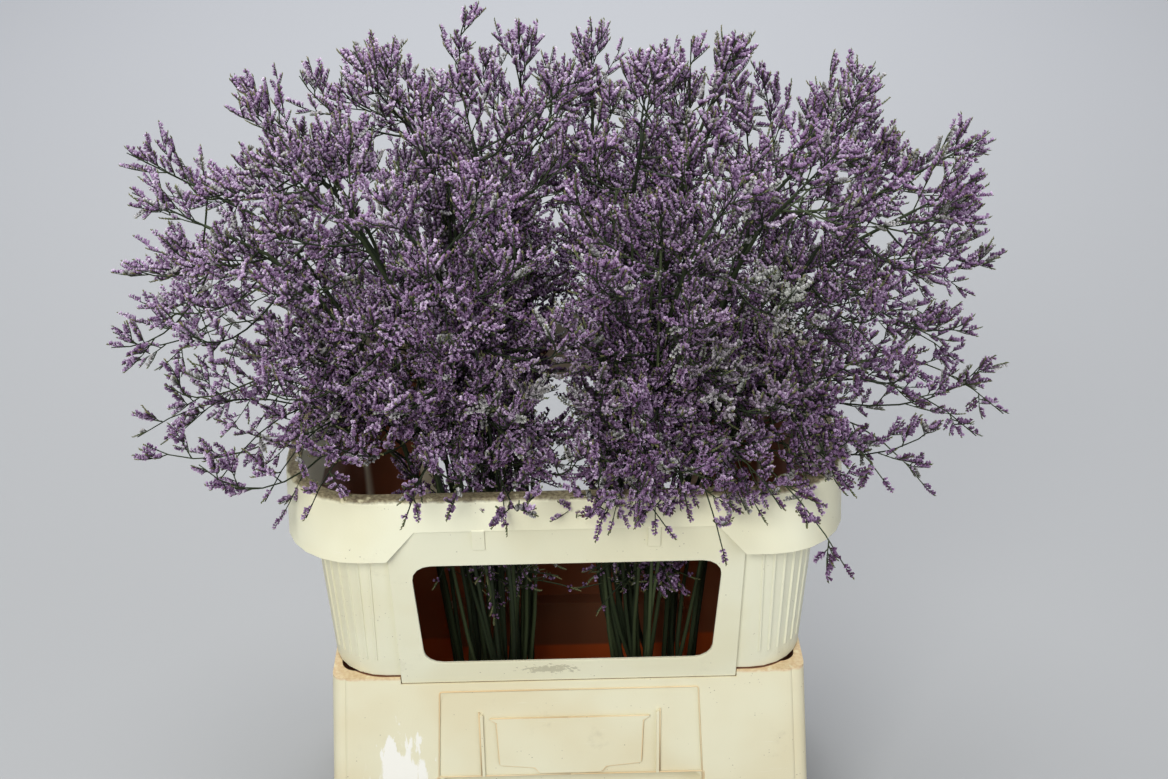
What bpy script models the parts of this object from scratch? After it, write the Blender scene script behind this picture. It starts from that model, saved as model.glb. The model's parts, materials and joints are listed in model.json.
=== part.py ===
"""Dried statice in a two-piece florist's container.

Two bunches of ten cut stems stand in a cream plastic bucket and are held
together by the open collar that sits on it. The origin is the centre of the
bucket's base, +X is to the right, +Y to the back and +Z up. Lengths are metres.
"""

import math
import random

import bmesh
import bpy
import numpy as np
from mathutils import Vector

# Container: heights, then half length, half width and corner radius at each
DECK_Z = 0.2207  # top of the bucket, on which the collar stands
BAND_Z = 0.350  # lower edge of the band round the rim
RIM_Z = 0.400
WALL = 0.0025
FLOOR = 0.003
CLEARANCE = 0.0003  # between pieces that rest on each other
FLARE = math.tan(math.radians(3.7))  # the bucket's walls lean out going down

BUCKET_TOP = (0.1790, 0.1130, 0.0080)
PLATE_TOP = (0.1695, 0.1145, 0.0030)  # raised front and back faces
MOUTH = (0.1730, 0.1045, 0.0120)
DECK_THICK = 0.0035
SHOULDER_Z = 0.190  # below it the bucket has its plain wall

BODY_BASE = (0.1790, 0.1115, 0.0420)  # collar's body on the deck
BODY_MID = (0.1830, 0.1411, 0.0520)
BODY_RIM = (0.1925, 0.1425, 0.0565)
BAND_LOW = (0.2010, 0.1510, 0.0560)
BAND_HIGH = (0.2000, 0.1500, 0.0640)
RIM_ROUND = 0.0025

UPRIGHT = ((0, 0), (1, 0))  # a line that doesn't lean
PANEL_HALF = 0.1265  # slanted panel round each window
PANEL_LINE = ((0.2147, 0.1134), (0.3720, 0.1490))  # height and distance from the middle
PANEL_TOP = 0.3765
BAND_GAP = ((0.1060, 0.3740), (0.1265, BAND_Z))  # where the band is shallower, above the panel
WINDOW = ((0.1070, 0.2364), (0.1110, 0.3400))
WINDOW_ROUND = 0.014
NUB_X, NUB_WIDE, NUB_PROUD = 0.0615, 0.0090, 0.0016
NUB_LOW, NUB_HIGH = 0.3565, 0.3750
RIB_TURNS, RIB_STEP = 6, math.radians(10)
RIB_WIDE, RIB_PROUD, RIB_SUNK = 0.0024, 0.0008, 0.0015
RIB_LOW, RIB_HIGH = 0.238, 0.344
RIB_TAPER = 0.6  # how wide a rib is at its crest, for its width at the foot
WINDOW_CUT = (0.090, 0.170)  # the window cutters reach from inside to outside the panel
BEHIND_DEEP = 0.015  # cleared space behind each panel
REBATE = (0.0093, 0.005)  # cutter for the tongue's seat: height over the deck, reach past the front

OUTLINE = ((0.1070, 0.0250), (0.0975, 0.2065))  # shallow field on the bucket's front
FIELD_DEEP, FIELD_ROUND = 0.0010, 0.009
GRIP = ((0.1035, 0.0320), (0.1030, 0.1275))  # deep hollow below the label holder
GRIP_DEEP, GRIP_ROUND = 0.015, 0.010
POST_X, POST_WIDE, POST_PROUD = 0.0675, 0.0022, 0.0030
POST_Z = (0.1290, 0.1860)
HOLDER = ((0.0615, 0.1815), (0.0560, 0.1780), (0.0545, 0.1385), (0.0275, 0.1358), (0.0240, 0.1305))
HOLDER_PROUD = 0.0020
CORNER_STEPS = 6

# Statice: the crown is a rounded mass over the rim
CROWN = (0.325, 0.215, 0.205)  # half length, half width and height
CROWN_Z = 0.452  # height of its widest level
CROWN_POWER = 2.5
STEMS = 20
BUNCH_X = {-1: -0.060, 1: 0.072}  # middle of each bunch's foot
SHELLS = ((142, 0.98), (62, 0.74), (16, 0.50))  # shoots on each shell, and its size
POOL = 3000  # places from which the shoots' ends are chosen
CROWN_LOW = -0.16  # how far below its widest level the crown reaches
SET_ENDS = (  # shoots that hang over the rim, and the furthest and highest ones
    (0.207, -0.178, 0.352), (0.120, -0.180, 0.372), (0.068, -0.180, 0.384), (0.165, -0.180, 0.380),
    (0.335, -0.020, 0.385), (-0.285, -0.030, 0.392), (-0.200, -0.178, 0.420), (0.262, -0.110, 0.372),
    (-0.030, -0.165, 0.500), (0.012, -0.170, 0.455), (-0.045, -0.165, 0.440), (0.000, -0.150, 0.545),
    (-0.078, -0.020, 0.696), (0.092, -0.015, 0.680), (-0.140, 0.010, 0.668),
)
GOLDEN = math.pi * (3 - math.sqrt(5))
BUNCH_MID, BUNCH_HALF, BUNCH_DEEP = 0.47, 0.43, 0.80  # where stem tips lie, for the crown's half sizes
TIP_RISE = 0.80  # how high a tip is, for the crown's height there
FOOT_FOLLOWS = (0.22, 0.26)  # how far the feet spread with the tips, along x and y
KNEE_GROW, KNEE_Z = (1.10, 1.15), 0.24  # each stem's lower bend, from its foot
BEND_SHARE, BEND_ASIDE, BEND_Z = (0.42, 0.52), 0.012, 0.515  # its upper bend, from its tip
STEM_FOOT_R, STEM_TIP_R = 0.0024, 0.0012
STEM_LENGTHS, STEM_SIDES = 9, 4
SHOOT_R = 0.0011
STRAIGHT = 0.10  # how far a shoot's bend is drawn back towards a straight line
LIFT = (0.55, 1.0)  # how far a shoot's end turns from outwards to upwards
ASIDE = 0.6  # how far it may turn to either side
BEND_MOST = math.radians(62)  # the most that its end turns from its root
BARE, SHAFT_MID = 0.30, 0.55  # least bare share of a shoot, and where that has its middle ring
SHORTEST, LONGEST = 0.035, 0.24
TURN = math.radians(42)  # usual angle between a shoot and its stem
OVERHANG_RISE = 0.085  # shoots that hang over the rim bend over this far above a straight line
COLLAR_ROOM, COLLAR_NARROWS = 0.002, 0.012  # kept free of it, and how much it narrows below its band
UNEVEN = (0.95, 1.04)  # how far a shoot's end lies off its shell
JOINTS, JOINT_LOW_Z = 34, 0.33
JOINT_RANGE, JOINT_AHEAD = (0.25, 0.97), 0.02  # where a stem has joints, and its direction
TURN_COST, LOAD_COST = 0.10, 0.004  # lengths that a turned or much used joint counts as
TRIES = 5  # joints tried on each stem
ATTEMPTS, JITTER = 8, 0.004  # tries for a shoot, and how much further each may move its end
SPIKE = 0.066  # length of the flowering end of a shoot
SPIKE_RINGS = (0.0040, 0.0104, 0.0112, 0.0108, 0.0094, 0.0060)
SPIKE_ROOM = 0.0106  # radius kept free round a spike, whose rings are triangles
CLEAR = 0.0014  # between the stems and shoots of different sprays
OWN_FREE = 14  # of the 40 balls along a shoot, those near its root may touch its own spray
SEED = 7

CREAM = (0.76, 0.71, 0.51, 1)
VIOLET = (0.33, 0.22, 0.42, 1)


def start_clean():
    """Remove every object and make the two collections."""
    for obj in list(bpy.data.objects):
        bpy.data.objects.remove(obj)
    groups = []
    for name in ("dried_statice", "cutters"):
        group = bpy.data.collections.new(name)
        bpy.context.scene.collection.children.link(group)
        groups.append(group)
    return groups


def finish(name, colour, roughness):
    """A plain Principled material."""
    material = bpy.data.materials.new(name)
    material.use_nodes = True
    shader = material.node_tree.nodes["Principled BSDF"]
    shader.inputs["Base Color"].default_value = colour
    shader.inputs["Roughness"].default_value = roughness
    return material


def object_from(mesh, name, group):
    """Fill a new object from a bmesh, with its faces pointing out."""
    bmesh.ops.recalc_face_normals(mesh, faces=mesh.faces)
    data = bpy.data.meshes.new(name)
    mesh.to_mesh(data)
    mesh.free()
    obj = bpy.data.objects.new(name, data)
    group.objects.link(obj)
    return obj


def loft(name, rings, group):
    """A closed solid through rings of equal length, capped at both ends."""
    mesh = bmesh.new()
    loops = [[mesh.verts.new(point) for point in ring] for ring in rings]
    count = len(loops[0])
    for low, high in zip(loops, loops[1:]):
        for i in range(count):
            j = (i + 1) % count
            mesh.faces.new((low[i], low[j], high[j], high[i]))
    mesh.faces.new(loops[0])
    mesh.faces.new(loops[-1])
    return object_from(mesh, name, group)


def round_corners(corners, radius, steps):
    """An outline with each corner turned into an arc."""
    points = []
    count = len(corners)
    for i in range(count):
        corner = Vector(corners[i])
        back = (Vector(corners[i - 1]) - corner).normalized()
        ahead = (Vector(corners[(i + 1) % count]) - corner).normalized()
        half = back.angle(ahead) / 2
        centre = corner + (back + ahead).normalized() * radius / math.sin(half)
        reach = radius / math.tan(half)
        start, end = corner + back * reach - centre, corner + ahead * reach - centre
        sweep = start.angle(end)
        for k in range(steps + 1):
            along = math.sin(sweep * (1 - k / steps)) * start + math.sin(sweep * k / steps) * end
            points.append(centre + along / math.sin(sweep))
    return points


def ring(size, z, inset=0.0):
    """A level rounded rectangle: half length, half width and corner radius."""
    x, y, radius = size[0] - inset, size[1] - inset, size[2] - inset
    corners = ((x, y), (-x, y), (-x, -y), (x, -y))
    return [(p.x, p.y, z) for p in round_corners(corners, radius, CORNER_STEPS)]


def flared(size, z):
    """The size of a bucket wall at a height, from its size at the deck."""
    grown = (DECK_Z - z) * FLARE
    return (size[0] + grown, size[1] + grown, size[2])


def slab(name, outline, line, inner, outer, side, group):
    """An outline in x and z, made solid between two distances from a leaning line."""
    (z0, y0), (z1, y1) = line
    rings = []
    for offset in (inner, outer):
        rings.append([(x, side * (y0 + (z - z0) * (y1 - y0) / (z1 - z0) + offset), z) for x, z in outline])
    return loft(name, rings, group)


def mirrored(half):
    """A whole outline from the points of its right half, bottom to top."""
    return list(half) + [(-x, z) for x, z in reversed(half)]


def boolean(obj, operation, other):
    """Leave a live Boolean on an object; its operand is only a guide."""
    modifier = obj.modifiers.new(other.name, "BOOLEAN")
    modifier.operation = operation
    modifier.object = other
    modifier.solver = "EXACT"
    other.display_type = "WIRE"
    other.hide_render = True


def build_bucket(group, cutters, material):
    """The lower piece: flared walls, deck with the mouth, label holder and grip."""
    bucket = loft("bucket", [ring(flared(BUCKET_TOP, z), z) for z in (0, DECK_Z)], group)
    plates = loft("bucket_plates", [ring(flared(PLATE_TOP, z), z) for z in (0, DECK_Z)], cutters)
    boolean(bucket, "UNION", plates)

    inside = [ring(flared(BUCKET_TOP, z), z, WALL) for z in (FLOOR, SHOULDER_Z)]
    inside += [ring(MOUTH, z) for z in (DECK_Z - DECK_THICK, DECK_Z + WALL)]
    boolean(bucket, "DIFFERENCE", loft("bucket_inside", inside, cutters))

    face = ((0, PLATE_TOP[1] + DECK_Z * FLARE), (DECK_Z, PLATE_TOP[1]))
    for side, where in ((-1, "front"), (1, "back")):
        block = mirrored([(x + WALL, z + WALL * grow) for (x, z), grow in zip(GRIP, (-1, 1))])
        pocket = slab("grip_" + where, round_corners(block, GRIP_ROUND, 3), face,
                      -GRIP_DEEP - WALL, -WALL / 2, side, cutters)
        boolean(bucket, "UNION", pocket)
        field = slab("field_" + where, round_corners(mirrored(OUTLINE), FIELD_ROUND, 3), face,
                     -FIELD_DEEP, WALL, side, cutters)
        boolean(bucket, "DIFFERENCE", field)
        hollow = slab("hollow_" + where, round_corners(mirrored(GRIP), GRIP_ROUND, 3), face,
                      -GRIP_DEEP, 2 * WALL, side, cutters)
        boolean(bucket, "DIFFERENCE", hollow)
        tongue = PANEL_HALF + 2 * CLEARANCE
        rest_z = PANEL_LINE[0][0] - CLEARANCE
        above = DECK_Z + REBATE[0]
        seat = mirrored([(tongue, rest_z), (tongue, above)])
        rebate = slab("rebate_" + where, seat, UPRIGHT, PANEL_LINE[0][1] - WALL - CLEARANCE,
                      PLATE_TOP[1] + REBATE[1], side, cutters)
        boolean(bucket, "DIFFERENCE", rebate)

    plate = slab("label_holder", mirrored(HOLDER[::-1]), face, -WALL, HOLDER_PROUD - FIELD_DEEP, -1,
                 cutters)
    boolean(bucket, "UNION", plate)
    for sign in (-1, 1):
        x0, x1 = sign * POST_X - POST_WIDE / 2, sign * POST_X + POST_WIDE / 2
        outline = [(x0, POST_Z[0]), (x1, POST_Z[0]), (x1, POST_Z[1]), (x0, POST_Z[1])]
        post = slab(f"label_post_{sign + 2}", outline, face, -WALL, POST_PROUD - FIELD_DEEP, -1, cutters)
        boolean(bucket, "UNION", post)
    bucket.data.materials.append(material)
    return bucket


def rib(name, angle, sign_x, sign_y, group):
    """One upright rib on a corner of the collar, at an angle from the front."""
    ends = []
    for z in (RIB_LOW, RIB_HIGH):
        t = (z - DECK_Z) / (BAND_Z - DECK_Z)
        x, y, radius = (a + (b - a) * t for a, b in zip(BODY_BASE, BODY_MID))
        out = Vector((sign_x * math.sin(angle), sign_y * math.cos(angle), 0))
        across = Vector((out.y, -out.x, 0)) * RIB_WIDE / 2
        middle = Vector((sign_x * (x - radius), sign_y * (y - radius), z)) + out * radius
        crest, root = middle + out * RIB_PROUD, middle - out * RIB_SUNK
        ends.append([crest + across * RIB_TAPER, crest - across * RIB_TAPER, root - across, root + across])
    return loft(name, ends, group)


def build_collar(group, cutters, material):
    """The upper piece: body, band round the rim, and a window front and back."""
    foot_z = DECK_Z + CLEARANCE
    body = [ring(BODY_BASE, foot_z), ring(BODY_MID, BAND_Z), ring(BODY_RIM, RIM_Z - WALL / 2)]
    collar = loft("collar", body, group)
    round_high = tuple(value - RIM_ROUND for value in BAND_HIGH)
    outside = [ring(BAND_LOW, BAND_Z), ring(BAND_HIGH, RIM_Z - RIM_ROUND), ring(round_high, RIM_Z)]
    band = loft("rim_band", outside, cutters)
    under_low = ring(BAND_LOW, BAND_Z - WALL, WALL)
    under = loft("band_underside", [under_low, ring(BAND_HIGH, RIM_Z - WALL, WALL)], cutters)
    boolean(band, "DIFFERENCE", under)
    for side, where in ((-1, "front"), (1, "back")):
        low = (BAND_GAP[1][0], BAND_Z - WALL)
        gap = slab("band_gap_" + where, mirrored([low, BAND_GAP[1], BAND_GAP[0]]), UPRIGHT,
                   BAND_HIGH[1] - 2 * WALL, BAND_LOW[1] + WALL, side, cutters)
        boolean(band, "DIFFERENCE", gap)
    boolean(collar, "UNION", band)

    for side, where in ((-1, "front"), (1, "back")):
        outline = mirrored([(PANEL_HALF, PANEL_LINE[0][0]), (PANEL_HALF, PANEL_TOP)])
        boolean(collar, "UNION", slab("panel_" + where, outline, PANEL_LINE, -2 * WALL, 0, side, cutters))

    inside = [ring(BODY_BASE, foot_z - WALL, WALL), ring(BODY_MID, BAND_Z, WALL)]
    inside.append(ring(BODY_RIM, RIM_Z + WALL, WALL))
    boolean(collar, "DIFFERENCE", loft("collar_inside", inside, cutters))

    for side, where in ((-1, "front"), (1, "back")):
        half = PANEL_HALF - WALL
        wide = PANEL_HALF + WALL
        outline = [(wide, foot_z - 4 * WALL), (wide, foot_z), (half, foot_z), (half, PANEL_TOP - 2 * WALL)]
        behind = slab("behind_" + where, mirrored(outline), PANEL_LINE, -BEHIND_DEEP, -WALL, side, cutters)
        boolean(collar, "DIFFERENCE", behind)
        hole = round_corners(mirrored(WINDOW), WINDOW_ROUND, 4)
        boolean(collar, "DIFFERENCE", slab("window_" + where, hole, UPRIGHT, *WINDOW_CUT, side, cutters))
        for sign in (-1, 1):
            x0, x1 = sign * NUB_X - NUB_WIDE / 2, sign * NUB_X + NUB_WIDE / 2
            outline = [(x0, NUB_LOW), (x1, NUB_LOW), (x1, NUB_HIGH), (x0, NUB_HIGH)]
            nub = slab(f"nub_{where}_{sign + 2}", outline, PANEL_LINE, -WALL / 2, NUB_PROUD, side, cutters)
            boolean(collar, "UNION", nub)
            for turn in range(1, RIB_TURNS + 1):
                upright = rib(f"rib_{where}_{sign + 2}_{turn}", turn * RIB_STEP, sign, side, cutters)
                boolean(collar, "UNION", upright)
    collar.data.materials.append(material)
    return collar


def crown_reach(direction):
    """Distance from the crown's centre to its surface along a direction."""
    total = sum((abs(value) / half) ** CROWN_POWER for value, half in zip(direction, CROWN))
    return total ** (-1 / CROWN_POWER)


def even_points(count, shell):
    """Points spread evenly over the crown, each as far as can be from those before it."""
    pool = []
    for index in range(POOL):
        rise = CROWN_LOW + (1 - CROWN_LOW) * (index + 0.5) / POOL
        level = math.sqrt(1 - rise * rise)
        direction = (level * math.cos(index * GOLDEN), level * math.sin(index * GOLDEN), rise)
        pool.append(np.array(direction) * crown_reach(direction) * shell)
    pool = np.array(pool)
    chosen = [len(pool) - 1]
    nearest = np.linalg.norm(pool - pool[chosen[0]], axis=1)
    while len(chosen) < count:
        chosen.append(int(nearest.argmax()))
        nearest = np.minimum(nearest, np.linalg.norm(pool - pool[chosen[-1]], axis=1))
    return [Vector(pool[i]) for i in chosen]


def on_curve(points, places):
    """Points at places from 0 to 1 along a Bezier curve."""
    power = len(points) - 1
    places = np.asarray(places, float)[:, None]
    return sum(
        math.comb(power, i) * places**i * (1 - places) ** (power - i) * np.asarray(point, float)
        for i, point in enumerate(points)
    )


def on_lengths(curve, knots, places):
    """Points along the straight lengths between a curve's knots, of which a stem or shoot is built."""
    corners = on_curve(curve, knots)
    return np.column_stack([np.interp(places, knots, corners[:, axis]) for axis in range(3)])


def stem_knots():
    """Where along its curve a main stem has its rings."""
    return np.linspace(0, 1, STEM_LENGTHS + 1)


def stem_curves():
    """Main stems: each from the bucket's floor through the collar into the crown."""
    curves = []
    for index in range(STEMS):
        side = 1 if index % 2 else -1
        pair = index // 2
        azimuth = pair * GOLDEN
        spread = math.sqrt((pair + 0.6) / (STEMS / 2))
        across, back = spread * math.cos(azimuth), spread * math.sin(azimuth)
        flat = Vector((side * (BUNCH_MID + BUNCH_HALF * across), BUNCH_DEEP * back, 0))
        tip_x, tip_y = flat.x * CROWN[0], flat.y * CROWN[1]
        left = max(0.0, 1 - abs(flat.x) ** CROWN_POWER - abs(flat.y) ** CROWN_POWER)
        tip_z = CROWN_Z + TIP_RISE * CROWN[2] * left ** (1 / CROWN_POWER)
        off_middle = tip_x - side * BUNCH_MID * CROWN[0]
        foot = (BUNCH_X[side] + FOOT_FOLLOWS[0] * off_middle, FOOT_FOLLOWS[1] * tip_y, FLOOR + CLEARANCE)
        knee = (foot[0] * KNEE_GROW[0], foot[1] * KNEE_GROW[1], KNEE_Z)
        bend = (tip_x * BEND_SHARE[0] + side * BEND_ASIDE, tip_y * BEND_SHARE[1], BEND_Z)
        curves.append([foot, knee, bend, (tip_x, tip_y, tip_z)])
    return curves


def shoot_targets(rng):
    """Where the flowering shoots end: at the set places, then over the crown's shells."""
    targets = [Vector(point) for point in SET_ENDS]
    for count, shell in SHELLS:
        for point in even_points(count, shell):
            point *= rng.uniform(*UNEVEN)
            targets.append(point + Vector((0, 0, CROWN_Z)))
    return targets


def clear_of_collar(point, radius):
    """Whether a ball is clear of the collar's rim, inside it, above it or outside it."""
    x, y, z = abs(point[0]), abs(point[1]), point[2]
    room = radius + COLLAR_ROOM
    if z > RIM_Z + room:
        return True
    inner = (BODY_RIM[0] - WALL - room, BODY_RIM[1] - WALL - room, BODY_RIM[2])
    outer = (BAND_LOW[0] + room, BAND_LOW[1] + room, BAND_LOW[2])
    if z < BAND_Z:
        inner = tuple(value - COLLAR_NARROWS for value in inner)
    return inside_rounded(x, y, inner) or not inside_rounded(x, y, outer)


def inside_rounded(x, y, size):
    """Whether a point lies in a rounded rectangle round the origin."""
    dx, dy = max(0.0, x - size[0] + size[2]), max(0.0, y - size[1] + size[2])
    return math.hypot(dx, dy) < size[2] and x < size[0] and y < size[1]


def tube_rings(points, radii, sides, twists):
    """Rings of a tube along points, each turned by its own twist."""
    points = [Vector(point) for point in points]
    rings = []
    normal = (points[1] - points[0]).orthogonal()
    for i, point in enumerate(points):
        ahead = (points[min(i + 1, len(points) - 1)] - points[max(i - 1, 0)]).normalized()
        normal = (normal - ahead * normal.dot(ahead)).normalized()
        other = ahead.cross(normal)
        angles = [math.tau * k / sides + twists[i] for k in range(sides)]
        rings.append([point + (normal * math.cos(a) + other * math.sin(a)) * radii[i] for a in angles])
    return rings


def tube(name, rings, group):
    """A closed tube of triangles; each ring may be turned on from the last."""
    mesh = bmesh.new()
    loops = [[mesh.verts.new(point) for point in ring] for ring in rings]
    sides = len(loops[0])
    for low, high in zip(loops, loops[1:]):
        for i in range(sides):
            j = (i + 1) % sides
            mesh.faces.new((low[i], low[j], high[i]))
            mesh.faces.new((low[j], high[j], high[i]))
    mesh.faces.new(loops[0])
    mesh.faces.new(loops[-1])
    return object_from(mesh, name, group)


def stem_shape(curve):
    """Centre points and radii of a main stem."""
    knots = stem_knots()
    return on_curve(curve, knots), STEM_FOOT_R + (STEM_TIP_R - STEM_FOOT_R) * knots


def shoot_curve(start, target, lift, aside):
    """Control points of a shoot, which turns up and aside towards its end, or hangs over the rim."""
    reach = target - start
    outward = (target - Vector((target.x * 0.5, 0, CROWN_Z))).normalized()
    if target.z < RIM_Z + 0.02:
        control = start.lerp(target, 0.5) + Vector((0, 0, OVERHANG_RISE))
    else:
        ending = (outward * (1 - lift) + Vector((aside, 0, lift))).normalized()
        turned = ending.angle(reach)
        if turned > BEND_MOST:
            ending = reach.normalized().slerp(ending, BEND_MOST / turned)
        control = target - ending * reach.length * 0.5
        control = control.lerp(start.lerp(target, 0.5), STRAIGHT)
    return [start, control, target]


def spike_start(curve):
    """Where along a shoot its flowering end begins."""
    return max(BARE, 1 - SPIKE / (curve[-1] - curve[0]).length)


def shoot_knots(curve):
    """Where along its curve a shoot has its rings: two on the bare shaft, then the spike's."""
    begin = spike_start(curve)
    return np.concatenate([(0.0, begin * SHAFT_MID), np.linspace(begin, 1, len(SPIKE_RINGS))])


def shoot_rings(curve):
    """Rings of a shoot: a bare shaft, then a spike whose turned corners are the florets."""
    radii = [SHOOT_R, SHOOT_R] + list(SPIKE_RINGS)
    twists = [0.0, 0.0] + [k * math.pi / 3 for k in range(len(SPIKE_RINGS))]
    return tube_rings(on_curve(curve, shoot_knots(curve)), radii, 3, twists)


def balls_along(curve, knots, begin, thin, thick, owner, count=40):
    """Balls that cover a stem or shoot, thin up to a place along it and thick from there."""
    places = np.linspace(0, 1, count + 1)
    radii = np.where(places < begin, thin, thick)
    return np.column_stack((on_lengths(curve, knots, places), radii, np.full(count + 1, owner)))


def touches(balls, others):
    """Whether any ball of one set comes within the clearance of another set."""
    room = thickest_pair(balls, others)
    near = (others[:, :3] > balls[:, :3].min(0) - room) & (others[:, :3] < balls[:, :3].max(0) + room)
    others = others[near.all(axis=1)]
    apart = np.linalg.norm(balls[:, None, :3] - others[None, :, :3], axis=2)
    return bool((apart < balls[:, None, 3] + others[None, :, 3] + CLEAR).any())


def thickest_pair(balls, others):
    """The widest that two balls of the sets can be between centres and still touch."""
    return balls[:, 3].max() + others[:, 3].max() + CLEAR


def joints_on(curves):
    """The places on every stem where a shoot may leave it, with the stem's direction there."""
    joints = []
    places = np.linspace(*JOINT_RANGE, JOINTS)
    for index, curve in enumerate(curves):
        points = on_lengths(curve, stem_knots(), places)
        ahead = on_curve(curve, places + JOINT_AHEAD) - on_curve(curve, places)
        for point, along in zip(points, ahead):
            if point[2] > JOINT_LOW_Z:
                joints.append((index, Vector(point), Vector(along).normalized()))
    return joints


def best_joints(joints, target, loads):
    """Joints to try for a shoot, best first, with only a few from any one stem."""
    order = []
    for index, start, along in joints:
        reach = target - start
        if SHORTEST < reach.length < LONGEST:
            turn = abs(reach.angle(along) - TURN)
            order.append((reach.length + TURN_COST * turn + LOAD_COST * loads[index], index, start))
    order.sort(key=lambda entry: entry[0])
    kept, used = [], [0] * STEMS
    for _, index, start in order:
        if used[index] < TRIES:
            kept.append((index, start))
            used[index] += 1
    return kept[:TRIES * 6]


def grow_sprays():
    """The curve of every stem, and the curves of the shoots it carries, clear of the others."""
    rng = random.Random(SEED)
    stems = stem_curves()
    thick = STEM_FOOT_R, STEM_TIP_R
    balls = [balls_along(curve, stem_knots(), 1.0, *thick, i, 150) for i, curve in enumerate(stems)]
    shoots = [[] for _ in stems]
    for index, curve in enumerate(stems):
        start, end = (Vector(point) for point in on_lengths(curve, stem_knots(), (JOINT_RANGE[1], 1)))
        along = (end - start).normalized() * SPIKE
        last = [start, start + along / 2, start + along]
        shoots[index].append(last)
        balls.append(balls_along(last, shoot_knots(last), 0, SHOOT_R, SPIKE_ROOM, index))
    taken = np.concatenate(balls)
    joints = joints_on(stems)
    for target in shoot_targets(rng):
        for attempt in range(ATTEMPTS):
            place = target + Vector([rng.uniform(-1, 1) * JITTER * attempt for _ in range(3)])
            bend = rng.uniform(*LIFT), rng.uniform(-ASIDE, ASIDE)
            found = place_shoot(place, bend, joints, shoots, taken)
            if found is not None:
                taken = np.concatenate([taken, found])
                break
    return stems, shoots


def place_shoot(target, bend, joints, shoots, taken):
    """Add a shoot that ends at the target to the first joint where it is clear, and give its balls."""
    for index, start in best_joints(joints, target, [len(carried) for carried in shoots]):
        curve = shoot_curve(start, target, *bend)
        balls = balls_along(curve, shoot_knots(curve), spike_start(curve), SHOOT_R, SPIKE_ROOM, index)
        own = taken[:, 4] == index
        if touches(balls, taken[~own]) or touches(balls[OWN_FREE:], taken[own]):
            continue
        if all(clear_of_collar(ball[:3], ball[3]) for ball in balls):
            shoots[index].append(curve)
            joints[:] = [joint for joint in joints if joint[1] is not start]
            return balls
    return None


def build_spray(name, curve, shoots, group, material):
    """One stem with its shoots, joined into a single closed body."""
    points, radii = stem_shape(curve)
    spray = tube(name, tube_rings(points, radii, STEM_SIDES, [0.0] * len(points)), group)
    parts = bpy.data.collections.new(name + "_shoots")
    bpy.context.scene.collection.children.link(parts)
    for number, shoot in enumerate(shoots):
        tube(f"{name}_shoot_{number}", shoot_rings(shoot), parts)
    joined = spray.modifiers.new("shoots", "BOOLEAN")
    joined.operation = "UNION"
    joined.operand_type = "COLLECTION"
    joined.collection = parts
    joined.solver = "EXACT"
    depsgraph = bpy.context.evaluated_depsgraph_get()
    whole = bpy.data.meshes.new_from_object(spray.evaluated_get(depsgraph))
    spray.modifiers.clear()
    spray.data = whole
    for obj in list(parts.objects):
        bpy.data.objects.remove(obj)
    bpy.data.collections.remove(parts)
    spray.data.materials.clear()
    spray.data.materials.append(material)
    return spray


def main():
    """Build the container, then the sprays that stand in it."""
    group, cutters = start_clean()
    cream = finish("cream_plastic", CREAM, 0.45)
    violet = finish("dried_statice", VIOLET, 0.9)
    build_bucket(group, cutters, cream)
    build_collar(group, cutters, cream)
    stems, shoots = grow_sprays()
    for index, curve in enumerate(stems):
        side = "right" if index % 2 else "left"
        build_spray(f"spray_{side}_{index // 2 + 1:02d}", curve, shoots[index], group, violet)


main()
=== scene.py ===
"""Looks of dried statice that stands in a two-piece cut-flower container.

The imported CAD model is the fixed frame: origin at the centre of the bucket's base, +X to the right,
+Y to the back and +Z up, in metres. Every spray of the frame is replaced by finer branches with
spikes of papery florets that grow along the same shoots, and the container gets worn cream plastic.
"""

import json
import logging
import math
import random
from dataclasses import dataclass
from enum import Enum

import bmesh
import bpy
import numpy as np
from mathutils import Matrix, Vector

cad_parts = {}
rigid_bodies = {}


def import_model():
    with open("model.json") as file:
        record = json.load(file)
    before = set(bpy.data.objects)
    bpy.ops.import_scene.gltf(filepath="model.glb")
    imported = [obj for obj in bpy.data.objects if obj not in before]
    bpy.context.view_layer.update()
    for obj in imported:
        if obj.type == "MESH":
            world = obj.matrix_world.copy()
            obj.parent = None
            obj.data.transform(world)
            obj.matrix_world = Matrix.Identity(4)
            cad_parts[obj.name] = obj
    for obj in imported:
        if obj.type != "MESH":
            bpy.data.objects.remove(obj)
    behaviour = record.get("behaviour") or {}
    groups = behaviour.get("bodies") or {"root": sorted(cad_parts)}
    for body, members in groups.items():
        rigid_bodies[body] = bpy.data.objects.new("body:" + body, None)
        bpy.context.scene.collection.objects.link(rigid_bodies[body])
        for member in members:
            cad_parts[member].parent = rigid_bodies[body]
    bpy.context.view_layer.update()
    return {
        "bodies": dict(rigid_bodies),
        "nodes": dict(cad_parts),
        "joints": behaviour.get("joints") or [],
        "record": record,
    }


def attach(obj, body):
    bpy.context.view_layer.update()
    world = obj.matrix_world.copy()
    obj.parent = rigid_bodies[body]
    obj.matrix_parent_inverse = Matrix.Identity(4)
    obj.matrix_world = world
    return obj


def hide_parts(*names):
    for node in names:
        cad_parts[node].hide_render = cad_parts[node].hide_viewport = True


LOG = logging.getLogger("statice")
BODY = "root"
GOLDEN = math.pi * (3 - math.sqrt(5))


class Slot(Enum):
    """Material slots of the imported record."""

    BUCKET = "bucket_plastic"
    COLLAR = "collar_plastic"
    STATICE = "statice"


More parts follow.
